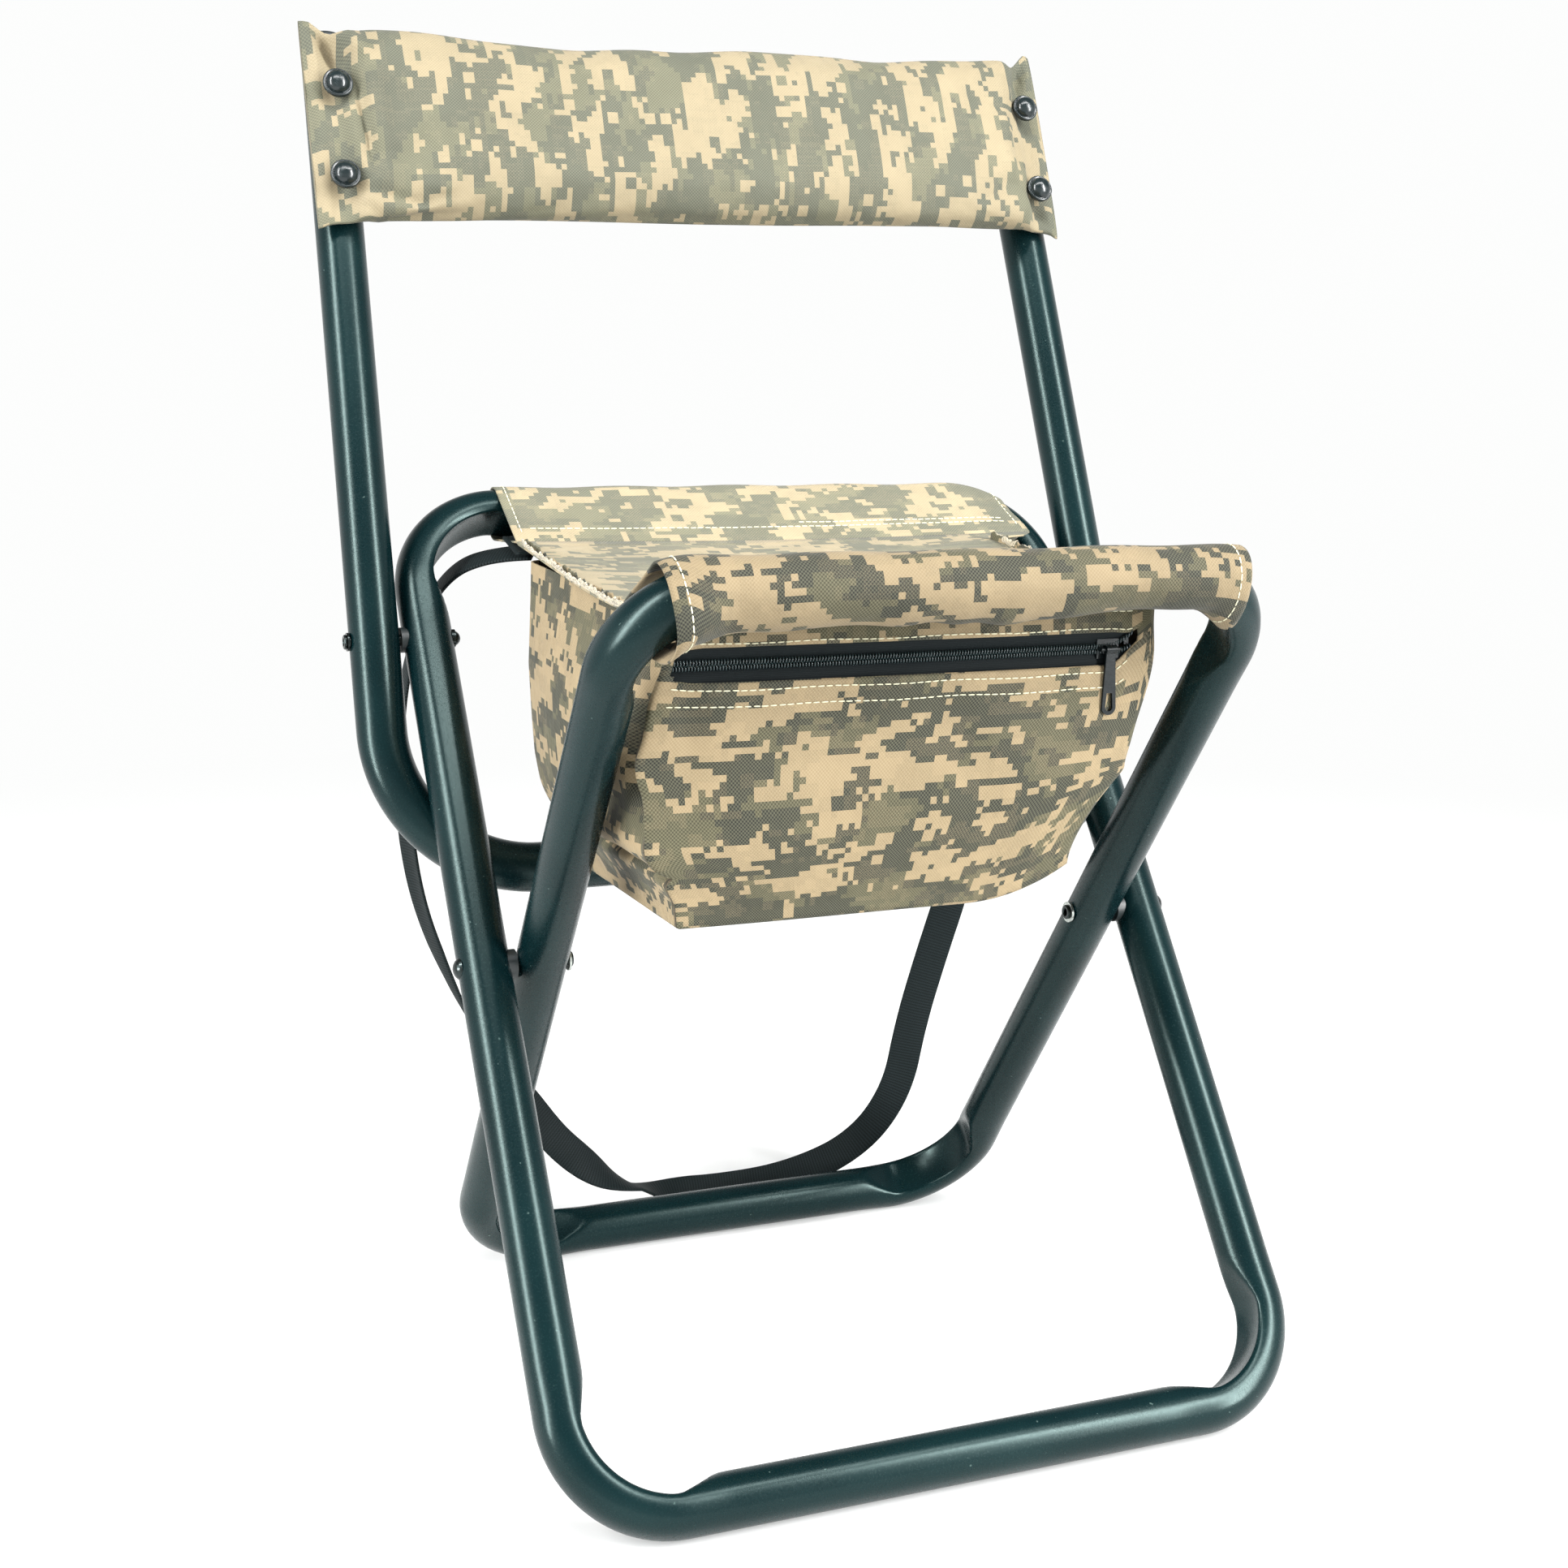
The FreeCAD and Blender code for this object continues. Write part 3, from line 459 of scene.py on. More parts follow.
# Direction of the band's width at shares of its length. It lies flat under the seat at both ends, is
# edge-on to the front down the left, turns its face to the front, pinches edge-on at the low point,
# and shows its face along the bottom and up the right.
STRAP_WIDTH_WAY = [
    (0.0, (0.62, 0.62, 0.3)), (0.03, (0.25, 0.93, 0.25)), (0.09, (0.12, 0.96, 0.24)),
    (0.15, (-0.05, 1, 0.05)), (0.20, (-0.22, 0.97, 0)), (0.26, (-0.20, 1, 0)), (0.32, (0.1, 0.9, 0.1)),
    (0.37, (0.6, 0.3, 0.5)), (0.41, (0.62, 0.25, 0.6)), (0.455, (0.3, 0.9, -0.3)), (0.49, (0.1, 0.6, 0.7)),
    (0.53, (0.05, 0.3, 0.95)), (0.58, (-0.1, 0.1, 1)), (0.64, (-0.5, 0.2, 0.8)), (0.70, (-0.9, 0.35, 0.1)),
    (0.80, (-0.93, 0.37, 0)), (0.90, (-0.6, 0.8, 0)), (0.96, (-0.35, 0.9, 0.1)), (1.0, (-0.62, 0.62, 0.3)),
]


def route_line(route):
    """Points of the NURBS line with the route's points as its control points, in millimetres."""
    data = bpy.data.curves.new("strap_route", "CURVE")
    data.dimensions = "3D"
    data.resolution_u = 14
    spline = data.splines.new("NURBS")
    spline.points.add(len(route) - 1)
    for point, place in zip(spline.points, route):
        point.co = (*(rel(*place) / 1000), 1)
    spline.order_u = 3
    spline.use_endpoint_u = True
    holder = bpy.data.objects.new("strap_route", data)
    line = bpy.data.meshes.new_from_object(holder)
    points = np.array([v.co for v in line.vertices], float) * 1000
    bpy.data.objects.remove(holder)
    bpy.data.meshes.remove(line)
    return points


# Half of the webbing's section, across and through it; the other half is its mirror image
STRAP_EDGE = [(-1, 0), (-0.985, 0.8), (-0.9, 1), (-0.45, 1), (0, 1), (0.45, 1), (0.9, 1), (0.985, 0.8)]


def strap():
    """Flat webbing along the route, with rounded edges and a slight cup."""
    line = route_line(STRAP_ROUTE)
    s = lengths_along(line)
    share = s / s[-1]
    stops = [w[0] for w in STRAP_WIDTH_WAY]
    way = np.stack([np.interp(share, stops, [w[1][k] for w in STRAP_WIDTH_WAY]) for k in range(3)], axis=1)
    tangent = np.gradient(line, axis=0)
    tangent /= np.linalg.norm(tangent, axis=1, keepdims=True)
    way -= tangent * np.sum(way * tangent, axis=1, keepdims=True)
    way /= np.linalg.norm(way, axis=1, keepdims=True)
    face = np.cross(tangent, way)
    half_w, half_t = STRAP_WIDTH / 2, STRAP_T / 2
    section = STRAP_EDGE + [(-a, -b) for a, b in STRAP_EDGE]
    cup = 0.9 * np.sin(s / 37.0) + 0.5 * np.sin(s / 13.0 + 1)
    rings, cloth = [], []
    for a, b in section:
        bow = cup * (a * a - 0.4)
        rings.append(line + way * (a * half_w) + face * (b * half_t + bow)[:, None])
        cloth.append(np.stack([np.full(len(s), a * half_w + b * 0.3), s, np.full(len(s), 60.0)], axis=1))
    grid, places = np.stack(rings, axis=1), np.stack(cloth, axis=1)
    rows, cols = grid.shape[:2]
    faces = grid_faces(rows, cols, wrap_cols=True)
    faces += [tuple(range(cols))[::-1], tuple((rows - 1) * cols + j for j in range(cols))]
    obj = add_piece("carry_strap_webbing", grid.reshape(-1, 3), faces, WEBBING, "outer_frame",
                    places.reshape(-1, 3))
    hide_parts("carry_strap")


def strap_tabs():
    """Strap ends sewn flat under the seat's rear corners, with a box of stitches."""
    for side, name in ((-1, "left"), (1, "right")):
        y = np.linspace(86, 110, 14)[:, None]
        x = np.linspace(101, 118, 10) * side
        z = np.interp(y, [86, 110], [355.2, 360.6])
        grid = as_grid(x, y + PIVOT[1], z)
        grid[..., 2] += 0.4 * np.sin(grid[..., 0] * 0.5)
        obj = cloth_piece("strap_tab_" + name, grid, grid_cloth(grid, 61), "outer_frame", WEBBING,
                          "webbing", thickness=1.3)
        corners = [rel(side * 103, 88, 354.9), rel(side * 116, 88, 354.9), rel(side * 116, 108, 359.4),
                   rel(side * 103, 108, 359.4)]
        lines = [np.array([a, b]) for a, b in zip(corners, corners[1:] + corners[:1])]
        lines.append(np.array([corners[0], corners[2]]))
        stitch_lines("strap_tab_stitches_" + name, lines, "outer_frame")
        if side < 0:
            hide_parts("carry_strap_tabs")


# ---------------------------------------------------------------- stitches

STITCH_PITCH = 3.5
STITCH_LENGTH = 2.7
STITCH_R = 0.27
STITCH_OVER = 0.62
STITCH_SHARES = (0.0, 0.12, 0.5, 0.88, 1.0)
STITCH_WIDTHS = (0.45, 0.9, 1.0, 0.9, 0.45)


def stitch_lines(name, lines, body):
    """Rows of short beads of thread along lines on the cloth."""
    points, faces = [], []
    for line in lines:
        total = lengths_along(line)[-1]
        for k in range(int(total / STITCH_PITCH)):
            middle = (k + 0.5) * STITCH_PITCH + random.uniform(-0.2, 0.2)
            a, b = at_length(line, [middle - STITCH_LENGTH / 2, middle + STITCH_LENGTH / 2])
            along = (b - a) / max(np.linalg.norm(b - a), 1e-6)
            side = np.cross(along, [0.31, 0.77, 0.55])
            side /= np.linalg.norm(side)
            over = np.cross(along, side)
            a = a + side * random.uniform(-0.12, 0.12)
            centres = [a + (b - a) * share for share in STITCH_SHARES]
            add_bead(points, faces, centres, STITCH_WIDTHS, side * STITCH_R, over * STITCH_R)
    add_piece(name, points, faces, THREAD, body)


# ---------------------------------------------------------------- frame tubes

RING_POINTS = 40
RING_CROWDING = 0.21
CRIMP_DEPTH = 5.6
CRIMP_FADE = 26.0
CRIMP_ROUND = 0.45
CRIMP_SPREAD = 0.07


def rounded_path(corners, radius, closed):
    """Points and tangents of straight runs joined by tangent arcs, and each arc's first and last point."""
    count = len(corners)
    pieces, spans = [], []
    arcs = {}
    for i in range(count) if closed else range(1, count - 1):
        d_in = corners[i] - corners[i - 1]
        d_out = corners[(i + 1) % count] - corners[i]
        d_in, d_out = d_in / np.linalg.norm(d_in), d_out / np.linalg.norm(d_out)
        turn = math.acos(np.clip(d_in @ d_out, -1, 1))
        inward = d_out - d_in * math.cos(turn)
        inward /= np.linalg.norm(inward)
        reach = radius * math.tan(turn / 2)
        centre = corners[i] - d_in * reach + inward * radius
        steps = max(8, int(radius * turn / 1.8))
        arc = []
        for t in np.linspace(0, turn, steps + 1):
            arc.append((centre + (d_in * math.sin(t) - inward * math.cos(t)) * radius,
                        d_in * math.cos(t) + inward * math.sin(t)))
        arcs[i] = arc
    for i in range(count):
        if i in arcs:
            spans.append((len(pieces), len(pieces) + len(arcs[i]) - 1))
            pieces += arcs[i]
        else:
            run = corners[(i + 1) % count] - corners[i] if i < count - 1 else corners[i] - corners[i - 1]
            pieces.append((corners[i], run / np.linalg.norm(run)))
        following = (i + 1) % count
        if i < count - 1 or closed:
            start, way = pieces[-1]
            end = arcs[following][0][0] if following in arcs else corners[following]
            run = np.linalg.norm(end - start)
            steps = int(run / 3.0)
            pieces += [(start + way * (run * k / steps), way) for k in range(1, steps)]
    points, tangents = (np.array([piece[k] for piece in pieces]) for k in (0, 1))
    return points, tangents, spans


def crimp_depths(s, spans, total, depth):
    """Depth of the pressed-in inside wall along a tube."""
    depths = np.zeros(len(s))
    for k, (first, last) in enumerate(spans):
        middle, half = (s[first] + s[last]) / 2, (s[last] - s[first]) / 2
        own = depth * (1 + 0.12 * math.sin(2.3 * k + 1))
        off = s - middle - 2.0 * math.sin(1.7 * k)
        off = (off + total / 2) % total - total / 2
        depths = np.maximum(depths, own * (1 - smooth_step(np.abs(off), half - 8, half - 8 + CRIMP_FADE)))
    return depths


def tube_grid(points, tangents, spans, depth, closed):
    """Rings of a tube whose bends are pressed in on the inside."""
    centroid = points.mean(axis=0)
    across = np.cross(tangents[0], centroid - points[0])
    plane = across / np.linalg.norm(across)
    s = lengths_along(points)
    total = s[-1] + (np.linalg.norm(points[0] - points[-1]) if closed else 1e6)
    depths = crimp_depths(s, spans, total, depth)
    turn = np.linspace(0, 2 * math.pi, RING_POINTS, endpoint=False)
    turn = turn - RING_CROWDING * np.sin(turn)
    x, y = np.cos(turn) * TUBE_R, np.sin(turn) * TUBE_R
    grid = np.zeros((len(points), RING_POINTS, 3))
    for i in range(len(points)):
        inward = np.cross(plane, tangents[i])
        d = depths[i]
        limit = TUBE_R - d
        reach = math.sqrt(max(TUBE_R ** 2 - limit ** 2, 1e-6))
        floor = limit - 0.22 * d * (1 - np.clip(y / reach, -1, 1) ** 2)
        pressed = -CRIMP_ROUND * np.logaddexp(-x / CRIMP_ROUND, -floor / CRIMP_ROUND)
        blend_in = min(d / 1.2, 1.0)
        px = x + (pressed - x) * blend_in
        py = y * (1 + CRIMP_SPREAD * d / CRIMP_DEPTH)
        grid[i] = points[i] + inward * px[:, None] + plane * py[:, None]
    return grid


def leg_loop(name, node, body, half_w, up, lower, upper):
    """Closed tube loop."""
    low, high = PIVOT - up * lower, PIVOT + up * upper
    side = X_AXIS * half_w
    corners = [low - side, low + side, high + side, high - side]
    points, tangents, spans = rounded_path(corners, LOOP_BEND_R, True)
    grid = tube_grid(points, tangents, spans, CRIMP_DEPTH, True)
    rows = len(grid)
    faces = grid_faces(rows, RING_POINTS, wrap_cols=True)
    last = (rows - 1) * RING_POINTS
    for j in range(RING_POINTS):
        k = (j + 1) % RING_POINTS
        faces.append((last + j, last + k, k, j))
    obj = add_piece(name, grid.reshape(-1, 3), faces, PAINT, body)
    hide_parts(node)


def back_corner(sign, level):
    """Place on an upright of the back hoop; the uprights come together towards their tops."""
    return BACK_PIVOT + BACK_UP * level + X_AXIS * (sign * (BACK_HALF_W - BACK_TAPER * level))


def back_hoop():
    """Open tube hoop with cut ends."""
    corners = [back_corner(-1, BACK_RISE), back_corner(-1, -BACK_DROP)]
    corners += [back_corner(1, -BACK_DROP), back_corner(1, BACK_RISE)]
    points, tangents, spans = rounded_path(corners, BACK_BEND_R, False)
    grid = tube_grid(points, tangents, spans, 0.0, False)
    ends = []
    for at, into in ((0, 1), (-1, -1)):
        centre = points[at]
        for inset, share in ((0.0, 0.97), (0.0, 1 - TUBE_WALL / TUBE_R), (6.0, 1 - TUBE_WALL / TUBE_R)):
            ends.append(centre + tangents[at] * (into * inset) + (grid[at] - centre) * share)
    full = np.stack([ends[2], ends[1], ends[0], *grid, ends[3], ends[4], ends[5]])
    faces = grid_faces(len(full), RING_POINTS, wrap_cols=True)
    obj = add_piece("back_hoop_tube", full.reshape(-1, 3), faces, PAINT, "backrest")
    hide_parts("backrest_frame")


def tubes():
    leg_loop("outer_loop_tube", "outer_leg_frame", "outer_frame",
             OUTER_HALF_W, OUTER_UP, OUTER_LOWER, OUTER_UPPER)
    leg_loop("inner_loop_tube", "inner_leg_frame", "inner_frame",
             INNER_HALF_W, INNER_UP, INNER_LOWER, INNER_UPPER)
    back_hoop()


# ---------------------------------------------------------------- seat cloth

SLEEVE_R = 11.9
SEAT_FRONT = (-87.0, 346.6)
SEAT_REAR = (93.0, 359.6)
SEAT_DIP = 3.2
REAR_LEFT, REAR_RIGHT = -116.0, 143.0
FRONT_LEFT, FRONT_RIGHT = -121.0, 120.0
SEAT_LEFT, SEAT_RIGHT = -117.5, 116.5
SEAT_FRONT_LEFT, SEAT_FRONT_WIDTH = -118, 226
FLAP_LEFT, FLAP_RIGHT = -112, 108


def bar_drop(x, half_w):
    """How far a top bar's centre line has come down the loop at x."""
    past = np.clip(np.abs(x) - (half_w - LOOP_BEND_R), 0, LOOP_BEND_R - 0.01)
    return LOOP_BEND_R - np.sqrt(LOOP_BEND_R ** 2 - past ** 2)


def wrap_section(seam, centre, radius, line_steps, arc_steps):
    """Section of cloth from a seam, over a bar and back, as (y, z) points; the upper run comes first."""
    seam, centre = np.array(seam, float), np.array(centre, float)
    reach = centre - seam
    distance = np.linalg.norm(reach)
    e = reach / distance
    n = np.array([-e[1], e[0]])
    n = n if n[1] > 0 else -n
    tilt = math.asin(radius / distance)
    first = centre + radius * (-math.sin(tilt) * e + math.cos(tilt) * n)
    last = centre + radius * (-math.sin(tilt) * e - math.cos(tilt) * n)
    up = [seam + (first - seam) * k / line_steps for k in range(line_steps)]
    half = math.pi / 2 + tilt
    angles = np.linspace(half, -half, arc_steps)
    arc = [centre + radius * (math.cos(a) * e + math.sin(a) * n) for a in angles]
    down = [last + (seam - last) * (k + 1) / line_steps for k in range(line_steps)]
    return np.array(up + arc + down)


LINE_STEPS, ARC_STEPS = 12, 30


def wrapped_cloth(x_values, half_w, up, upper, seam_of, droop_of, pucker, end_slack):
    """Grid of cloth round a top bar; rows follow the section, columns follow the bar.

    The cloth's underside follows the bar down into its bends; its top keeps straighter, so the ends gape.
    """
    count = 2 * LINE_STEPS + ARC_STEPS
    share = np.clip((np.arange(count) - LINE_STEPS) / ARC_STEPS, 0, 1)
    held = smooth_step(np.minimum(np.arange(count), count - 1 - np.arange(count)), 0, LINE_STEPS)
    under = smooth_step(share, 0.3, 0.9)
    columns = []
    for x in x_values:
        drop = bar_drop(x, half_w)
        centre = PIVOT + up * upper
        section = wrap_section(seam_of(x), centre[1:], SLEEVE_R, LINE_STEPS, ARC_STEPS)
        keep = end_slack[0] if x < 0 else end_slack[1]
        section -= np.outer(held * drop * (keep + (1 - keep) * under), up[1:])
        section[:, 1] -= under * held * droop_of(x)
        section[:, 1] += pucker * np.sin(x * 0.21 + 2 * np.sin(x * 0.05)) * under * held
        section[:, 1] += 0.35 * np.sin(x * 0.11 + share * 9) * held
        columns.append(np.column_stack([np.full(count, x), section]))
    return np.stack(columns, axis=1)


def front_seam(x):
    back = 10 * smooth_step(-x, 104, 121)
    return (SEAT_FRONT[0] + PIVOT[1] - 0.4 + back, SEAT_FRONT[1] + 0.2 - 0.8 * math.cos(x / 45))


def rear_seam(x):
    sag = 1.6 * math.cos((x - 10) / 80)
    return (SEAT_REAR[0] + PIVOT[1], SEAT_REAR[1] - sag)


def front_droop(x):
    hang = 3.4 - 1.4 * (abs(x) / 121.0) ** 6 + 0.8 * math.sin(x / 24) - 2.6 * float(bell(x, 83, 13))
    return hang * (1 - 0.8 * float(smooth_step(x, 0, 75)))


def rear_droop(x):
    return 1.6 - 1.2 * (abs(x - 10) / 126.0) ** 6


def hem_line(grid, column_x, rows):
    """Line on a wrapped grid at one x, a little outside the cloth."""
    xs = grid[0, :, 0]
    j = int(np.argmin(np.abs(xs - column_x)))
    normal = grid_normals(grid)
    line = grid[:, j] + outward(grid, normal)[:, j] * STITCH_OVER
    return line[rows[0]:rows[1]]


def outward(grid, normal):
    """Normals turned away from the grid's middle."""
    middle = grid.mean(axis=0, keepdims=True)
    sign = np.sign(np.sum(normal * (grid - middle), axis=2, keepdims=True))
    return normal * np.where(sign == 0, 1, sign)


def front_sleeve_and_apron():
    """Cloth round the front bar, and the two layers that join it to the bag's front edge."""
    xs = np.linspace(FRONT_LEFT, FRONT_RIGHT, 130)
    full = wrapped_cloth(xs, INNER_HALF_W, INNER_UP, INNER_UPPER, front_seam, front_droop, 0.5, (0.42, 0.1))
    round_bar = np.clip((np.arange(len(full)) - LINE_STEPS) / ARC_STEPS, 0, 1)[:, None]
    flare = bell(round_bar, 0.66, 0.24) * (1 - smooth_step(full[..., 0], FRONT_LEFT, FRONT_LEFT + 26))
    full[..., 1] -= 13 * flare
    full[..., 2] -= 3 * flare
    arch = bell(round_bar, 0.0, 0.22) * (1 - smooth_step(full[..., 0], FRONT_LEFT, FRONT_LEFT + 30))
    full[1:-1, :, 2] += 3.0 * arch[1:-1]
    cloth = grid_cloth(full, 12)
    top, bottom = LINE_STEPS - 2, LINE_STEPS + ARC_STEPS + 2
    sleeve = cloth_piece("front_sleeve_cloth", full[top:bottom], cloth[top:bottom], "inner_frame",
                         CAMO_SLEEVE)
    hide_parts("front_seat_sleeve")
    narrow = [j for j, x in enumerate(xs) if FLAP_LEFT < x < FLAP_RIGHT]
    upper = cloth_piece("seat_front_flap_upper", full[:top + 1], cloth[:top + 1], None, CAMO_SLEEVE)
    lower = cloth_piece("seat_front_flap_lower", full[bottom - 1:][:, narrow],
                        cloth[bottom - 1:][:, narrow], None, CAMO_SLEEVE)
    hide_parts("seat_apron")
    edge = full[top, len(xs) // 2] / 1000
    edge[0] = 0.0
    for flap in (upper, lower):
        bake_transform(flap)
    hems = [hem_line(full, x, (top, bottom)) for x in (FRONT_LEFT + 5.0, FRONT_RIGHT - 5.0)]
    stitch_lines("front_sleeve_hem_stitches", hems, "inner_frame")


def seat_and_rear_sleeve():
    """Cloth round the rear bar and the sagging seat in front of it."""
    xs = np.linspace(REAR_LEFT, REAR_RIGHT, 130)
    full = wrapped_cloth(xs, OUTER_HALF_W, OUTER_UP, OUTER_UPPER, rear_seam, rear_droop, 0.4, (0.75, 0.75))
    sleeve = cloth_piece("rear_sleeve_cloth", full, grid_cloth(full, 23), "outer_frame", CAMO_SEAT)
    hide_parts("rear_seat_sleeve")
    rows = 70
    t = np.linspace(0, 1, rows)
    columns = []
    for k, x_rear in enumerate(xs):
        share = k / (len(xs) - 1)
        x_front = SEAT_FRONT_LEFT + share * SEAT_FRONT_WIDTH
        inside = min(max(x_rear, SEAT_LEFT), SEAT_RIGHT)
        x = x_rear + (inside - x_rear) * smooth_step(t, 0.0, 0.055)
        x = x + (x_front - inside) * smooth_step(t, 0.05, 0.8)
        y0, z0 = rear_seam(x_rear)
        y1, z1 = front_seam(x_front)
        y = y0 + (y1 - y0) * t
        edge = 1 - np.abs(2 * share - 1) ** 3
        dip = SEAT_DIP * np.sin(math.pi * t ** 0.8) * (0.45 + 0.75 * edge)
        z = z0 + (z1 - z0) * smooth_step(t, -0.25, 1.1)
        wave = 0.9 * np.sin(share * 9 + 3 * t) * np.sin(math.pi * t)
        wave += 0.5 * np.sin(share * 23 + 1 + 5 * t) * (1 - t)
        fold = 1.1 * bell(t, 0.10, 0.05) * np.sin(share * 31) * (1 - edge * 0.5)
        columns.append(np.column_stack([x, y, z + 0.3 - dip + wave * 0.6 + fold * 0.4]))
    seat = np.stack(columns, axis=1)
    seat[0] = full[0]
    cloth = grid_cloth(seat, 31)
    panel = cloth_piece("seat_cloth", seat, cloth, "outer_frame", CAMO_SEAT)
    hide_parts("seat_panel")
    normal = outward(full, grid_normals(full))
    seam, second = (full[k] + normal[k] * STITCH_OVER for k in (3, 4))
    lines = [seam[4:-4], second[70:-4]]
    end = LINE_STEPS + ARC_STEPS
    lines += [hem_line(full, REAR_LEFT + 4.6, (2, end)), hem_line(full, REAR_RIGHT - 4.6, (2, end))]
    stitch_lines("rear_sleeve_stitches", lines, "outer_frame")
    return seat


def raw_seams(seat):
    """Cut edges of seat and bag cloth that stand up where they are sewn together."""
    for name, j, side in (("left", 1, -1), ("right", -2, 1)):
        line = seat[4:-1, j]
        s = lengths_along(line)
        spread = 1.0 if side < 0 else 0.3
        layers = []
        for layer in (0, 1):
            rows = []
            for h in np.linspace(0, 1, 5):
                height = 3.8 * h * (1 + 0.18 * np.sin(s * 0.9 + layer) + 0.12 * np.sin(s * 2.9))
                lean = side * (0.9 + 1.3 * layer) * h * spread + 0.8 * np.sin(s / 9 + 2 * layer) * h
                shift = lean + side * layer * 0.8 * spread
                rows.append(line + np.column_stack([shift, 0 * s, height - 0.5]))
            layers.append(np.stack(rows))
        for layer, grid in enumerate(layers):
            obj = cloth_piece(f"raw_seam_{name}_{layer + 1}", grid, grid_cloth(grid, 40 + layer),
                              "outer_frame", FRAY if layer else CAMO, thickness=0.7)
            if side < 0 and layer == 0:
                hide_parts("bag_seam_bindings")


# ---------------------------------------------------------------- bag

BAG_ROWS_TOP = [0.0, 0.3, 0.7, 1.2, 3.0, 5.5, 8.0, 10.2, 11.7]
SLOT_TOP, SLOT_BOTTOM = 334.6, 321.4
SLOT_LEFT, SLOT_RIGHT = -104.0, 97.0
BAG_T = 1.0
FRONT_COLS = 110
ZIP_Z = 328.0
BAG_TOP_FRONT, BAG_TOP_REAR, BAG_BOTTOM = 346.3, 353.6, 226.0


def side_points(a, b, steps, bulge, outward_way):
    """Points from a towards b with a bulge."""
    t = np.linspace(0, 1, steps, endpoint=False)
    swell = bulge * np.sin(math.pi * t) ** 0.8
    return a + (b - a) * t[:, None] + np.outer(swell, outward_way)


def bag_section(t, z_front, z_rear):
    """Closed ring round the bag at level t, 0 at the top and 1 at the bottom."""
    lower = smooth_step(t, 0.72, 1.0)
    left_front = -107 - 9 * math.sin(math.pi * min(max(t - 0.08, 0) / 0.84, 1)) + 6 * lower
    right_front = 105 - 12 * smooth_step(t, 0.15, 0.62) - 24 * smooth_step(t, 0.62, 1.0)
    left_rear = -117 + 12 * lower
    right_rear = 116 - 26 * lower
    y_front = -86 - 2.2 * math.sin(math.pi * t) + 1.0 * lower
    y_rear = np.interp(t, [0, 0.35, 0.65, 0.9, 1.0], [72, 75, 65, 42, 26])
    puff = math.sin(math.pi * min(t * 1.05, 1)) ** 0.7
    a, b = np.array([left_front, y_front]), np.array([right_front, y_front])
    c, d = np.array([right_rear, y_rear]), np.array([left_rear, y_rear])
    ring = np.concatenate([
        side_points(a, b, FRONT_COLS, 3.6 * puff, np.array([0.0, -1.0])),
        side_points(b, c, 56, 2.5 * puff, np.array([1.0, 0.0])),
        side_points(c, d, 60, 7.0 * puff, np.array([0.0, 1.0])),
        side_points(d, a, 56, 3.0 * puff, np.array([-1.0, 0.0])),
    ])
    y = ring[:, 1]
    z = z_front + (z_rear - z_front) * np.clip((y + 86) / 158, 0, 1)
    corner = np.clip((ring[:, 0] - 22) / 56, 0, 1.3) ** 2.2
    z += 19 * corner * smooth_step(t, 0.45, 1.0)
    return np.column_stack([ring[:, 0], y + PIVOT[1], z])


def bag_grid():
    """Rings of the bag from the seat down to the middle of its floor."""
    levels = sorted(set(
        [BAG_TOP_FRONT - d for d in BAG_ROWS_TOP]
        + [SLOT_TOP, SLOT_TOP - 0.5, SLOT_BOTTOM + 0.5, SLOT_BOTTOM]
        + list(np.linspace(SLOT_TOP - 2, SLOT_BOTTOM + 2, 4))
        + list(np.linspace(SLOT_BOTTOM - 1.5, BAG_BOTTOM, 62))
    ), reverse=True)
    rings = []
    for z in levels:
        t = (BAG_TOP_FRONT - z) / (BAG_TOP_FRONT - BAG_BOTTOM)
        z_rear = BAG_TOP_REAR + (BAG_BOTTOM - BAG_TOP_REAR) * t
        rings.append(bag_section(t, z, z_rear))
    grid = crease_bag(np.stack(rings))
    for j in range(FRONT_COLS):
        x = float(grid[10, j, 0])
        pinch = 1 - 0.62 * float(smooth_step(x, 84, 97)) - 0.25 * float(smooth_step(-x, 92, 106))
        top = zip_line(x) + (SLOT_TOP - ZIP_Z) * pinch
        bottom = zip_line(x) - (ZIP_Z - SLOT_BOTTOM) * pinch
        old = [200, 300, SLOT_BOTTOM, SLOT_TOP, BAG_TOP_FRONT]
        grid[:, j, 2] = np.interp(grid[:, j, 2], old, [200, 300, bottom, top, BAG_TOP_FRONT])
    for _ in range(6):
        softened = 0.25 * np.roll(grid, 1, 1) + 0.5 * grid + 0.25 * np.roll(grid, -1, 1)
        rear = smooth_step(grid[..., 1] - PIVOT[1], 10, 40)[..., None]
        grid = grid + (softened - grid) * rear
    last = grid[-1]
    middle = rel(-14, -32, BAG_BOTTOM - 3.5)
    floor = []
    for share in (0.985, 0.95, 0.88, 0.78, 0.66, 0.54, 0.42, 0.3, 0.18, 0.06):
        ring = middle + (last - middle) * share
        sag = 3.5 * math.sqrt(1 - share ** 2) + 1.2 * (1 - share)
        ring[:, 2] = BAG_BOTTOM + (last[:, 2] - BAG_BOTTOM) * share ** 0.6 - sag
        floor.append(ring)
    return np.concatenate([grid, np.stack(floor)]), levels


# Slanting folds of the side walls: wall, depth, height at the front edge, slope, half width,
# and the fold's middle and reach behind the front edge
SIDE_FOLDS = [
    (-1, 2.2, 330, -0.75, 9, 60, 40), (-1, 1.8, 282, -0.35, 7, 38, 30),
    (1, -3.2, 338, -0.5, 8, 18, 14), (1, -2.0, 300, 0.3, 12, 60, 50),
]
BAG_HALF_W = 119.3


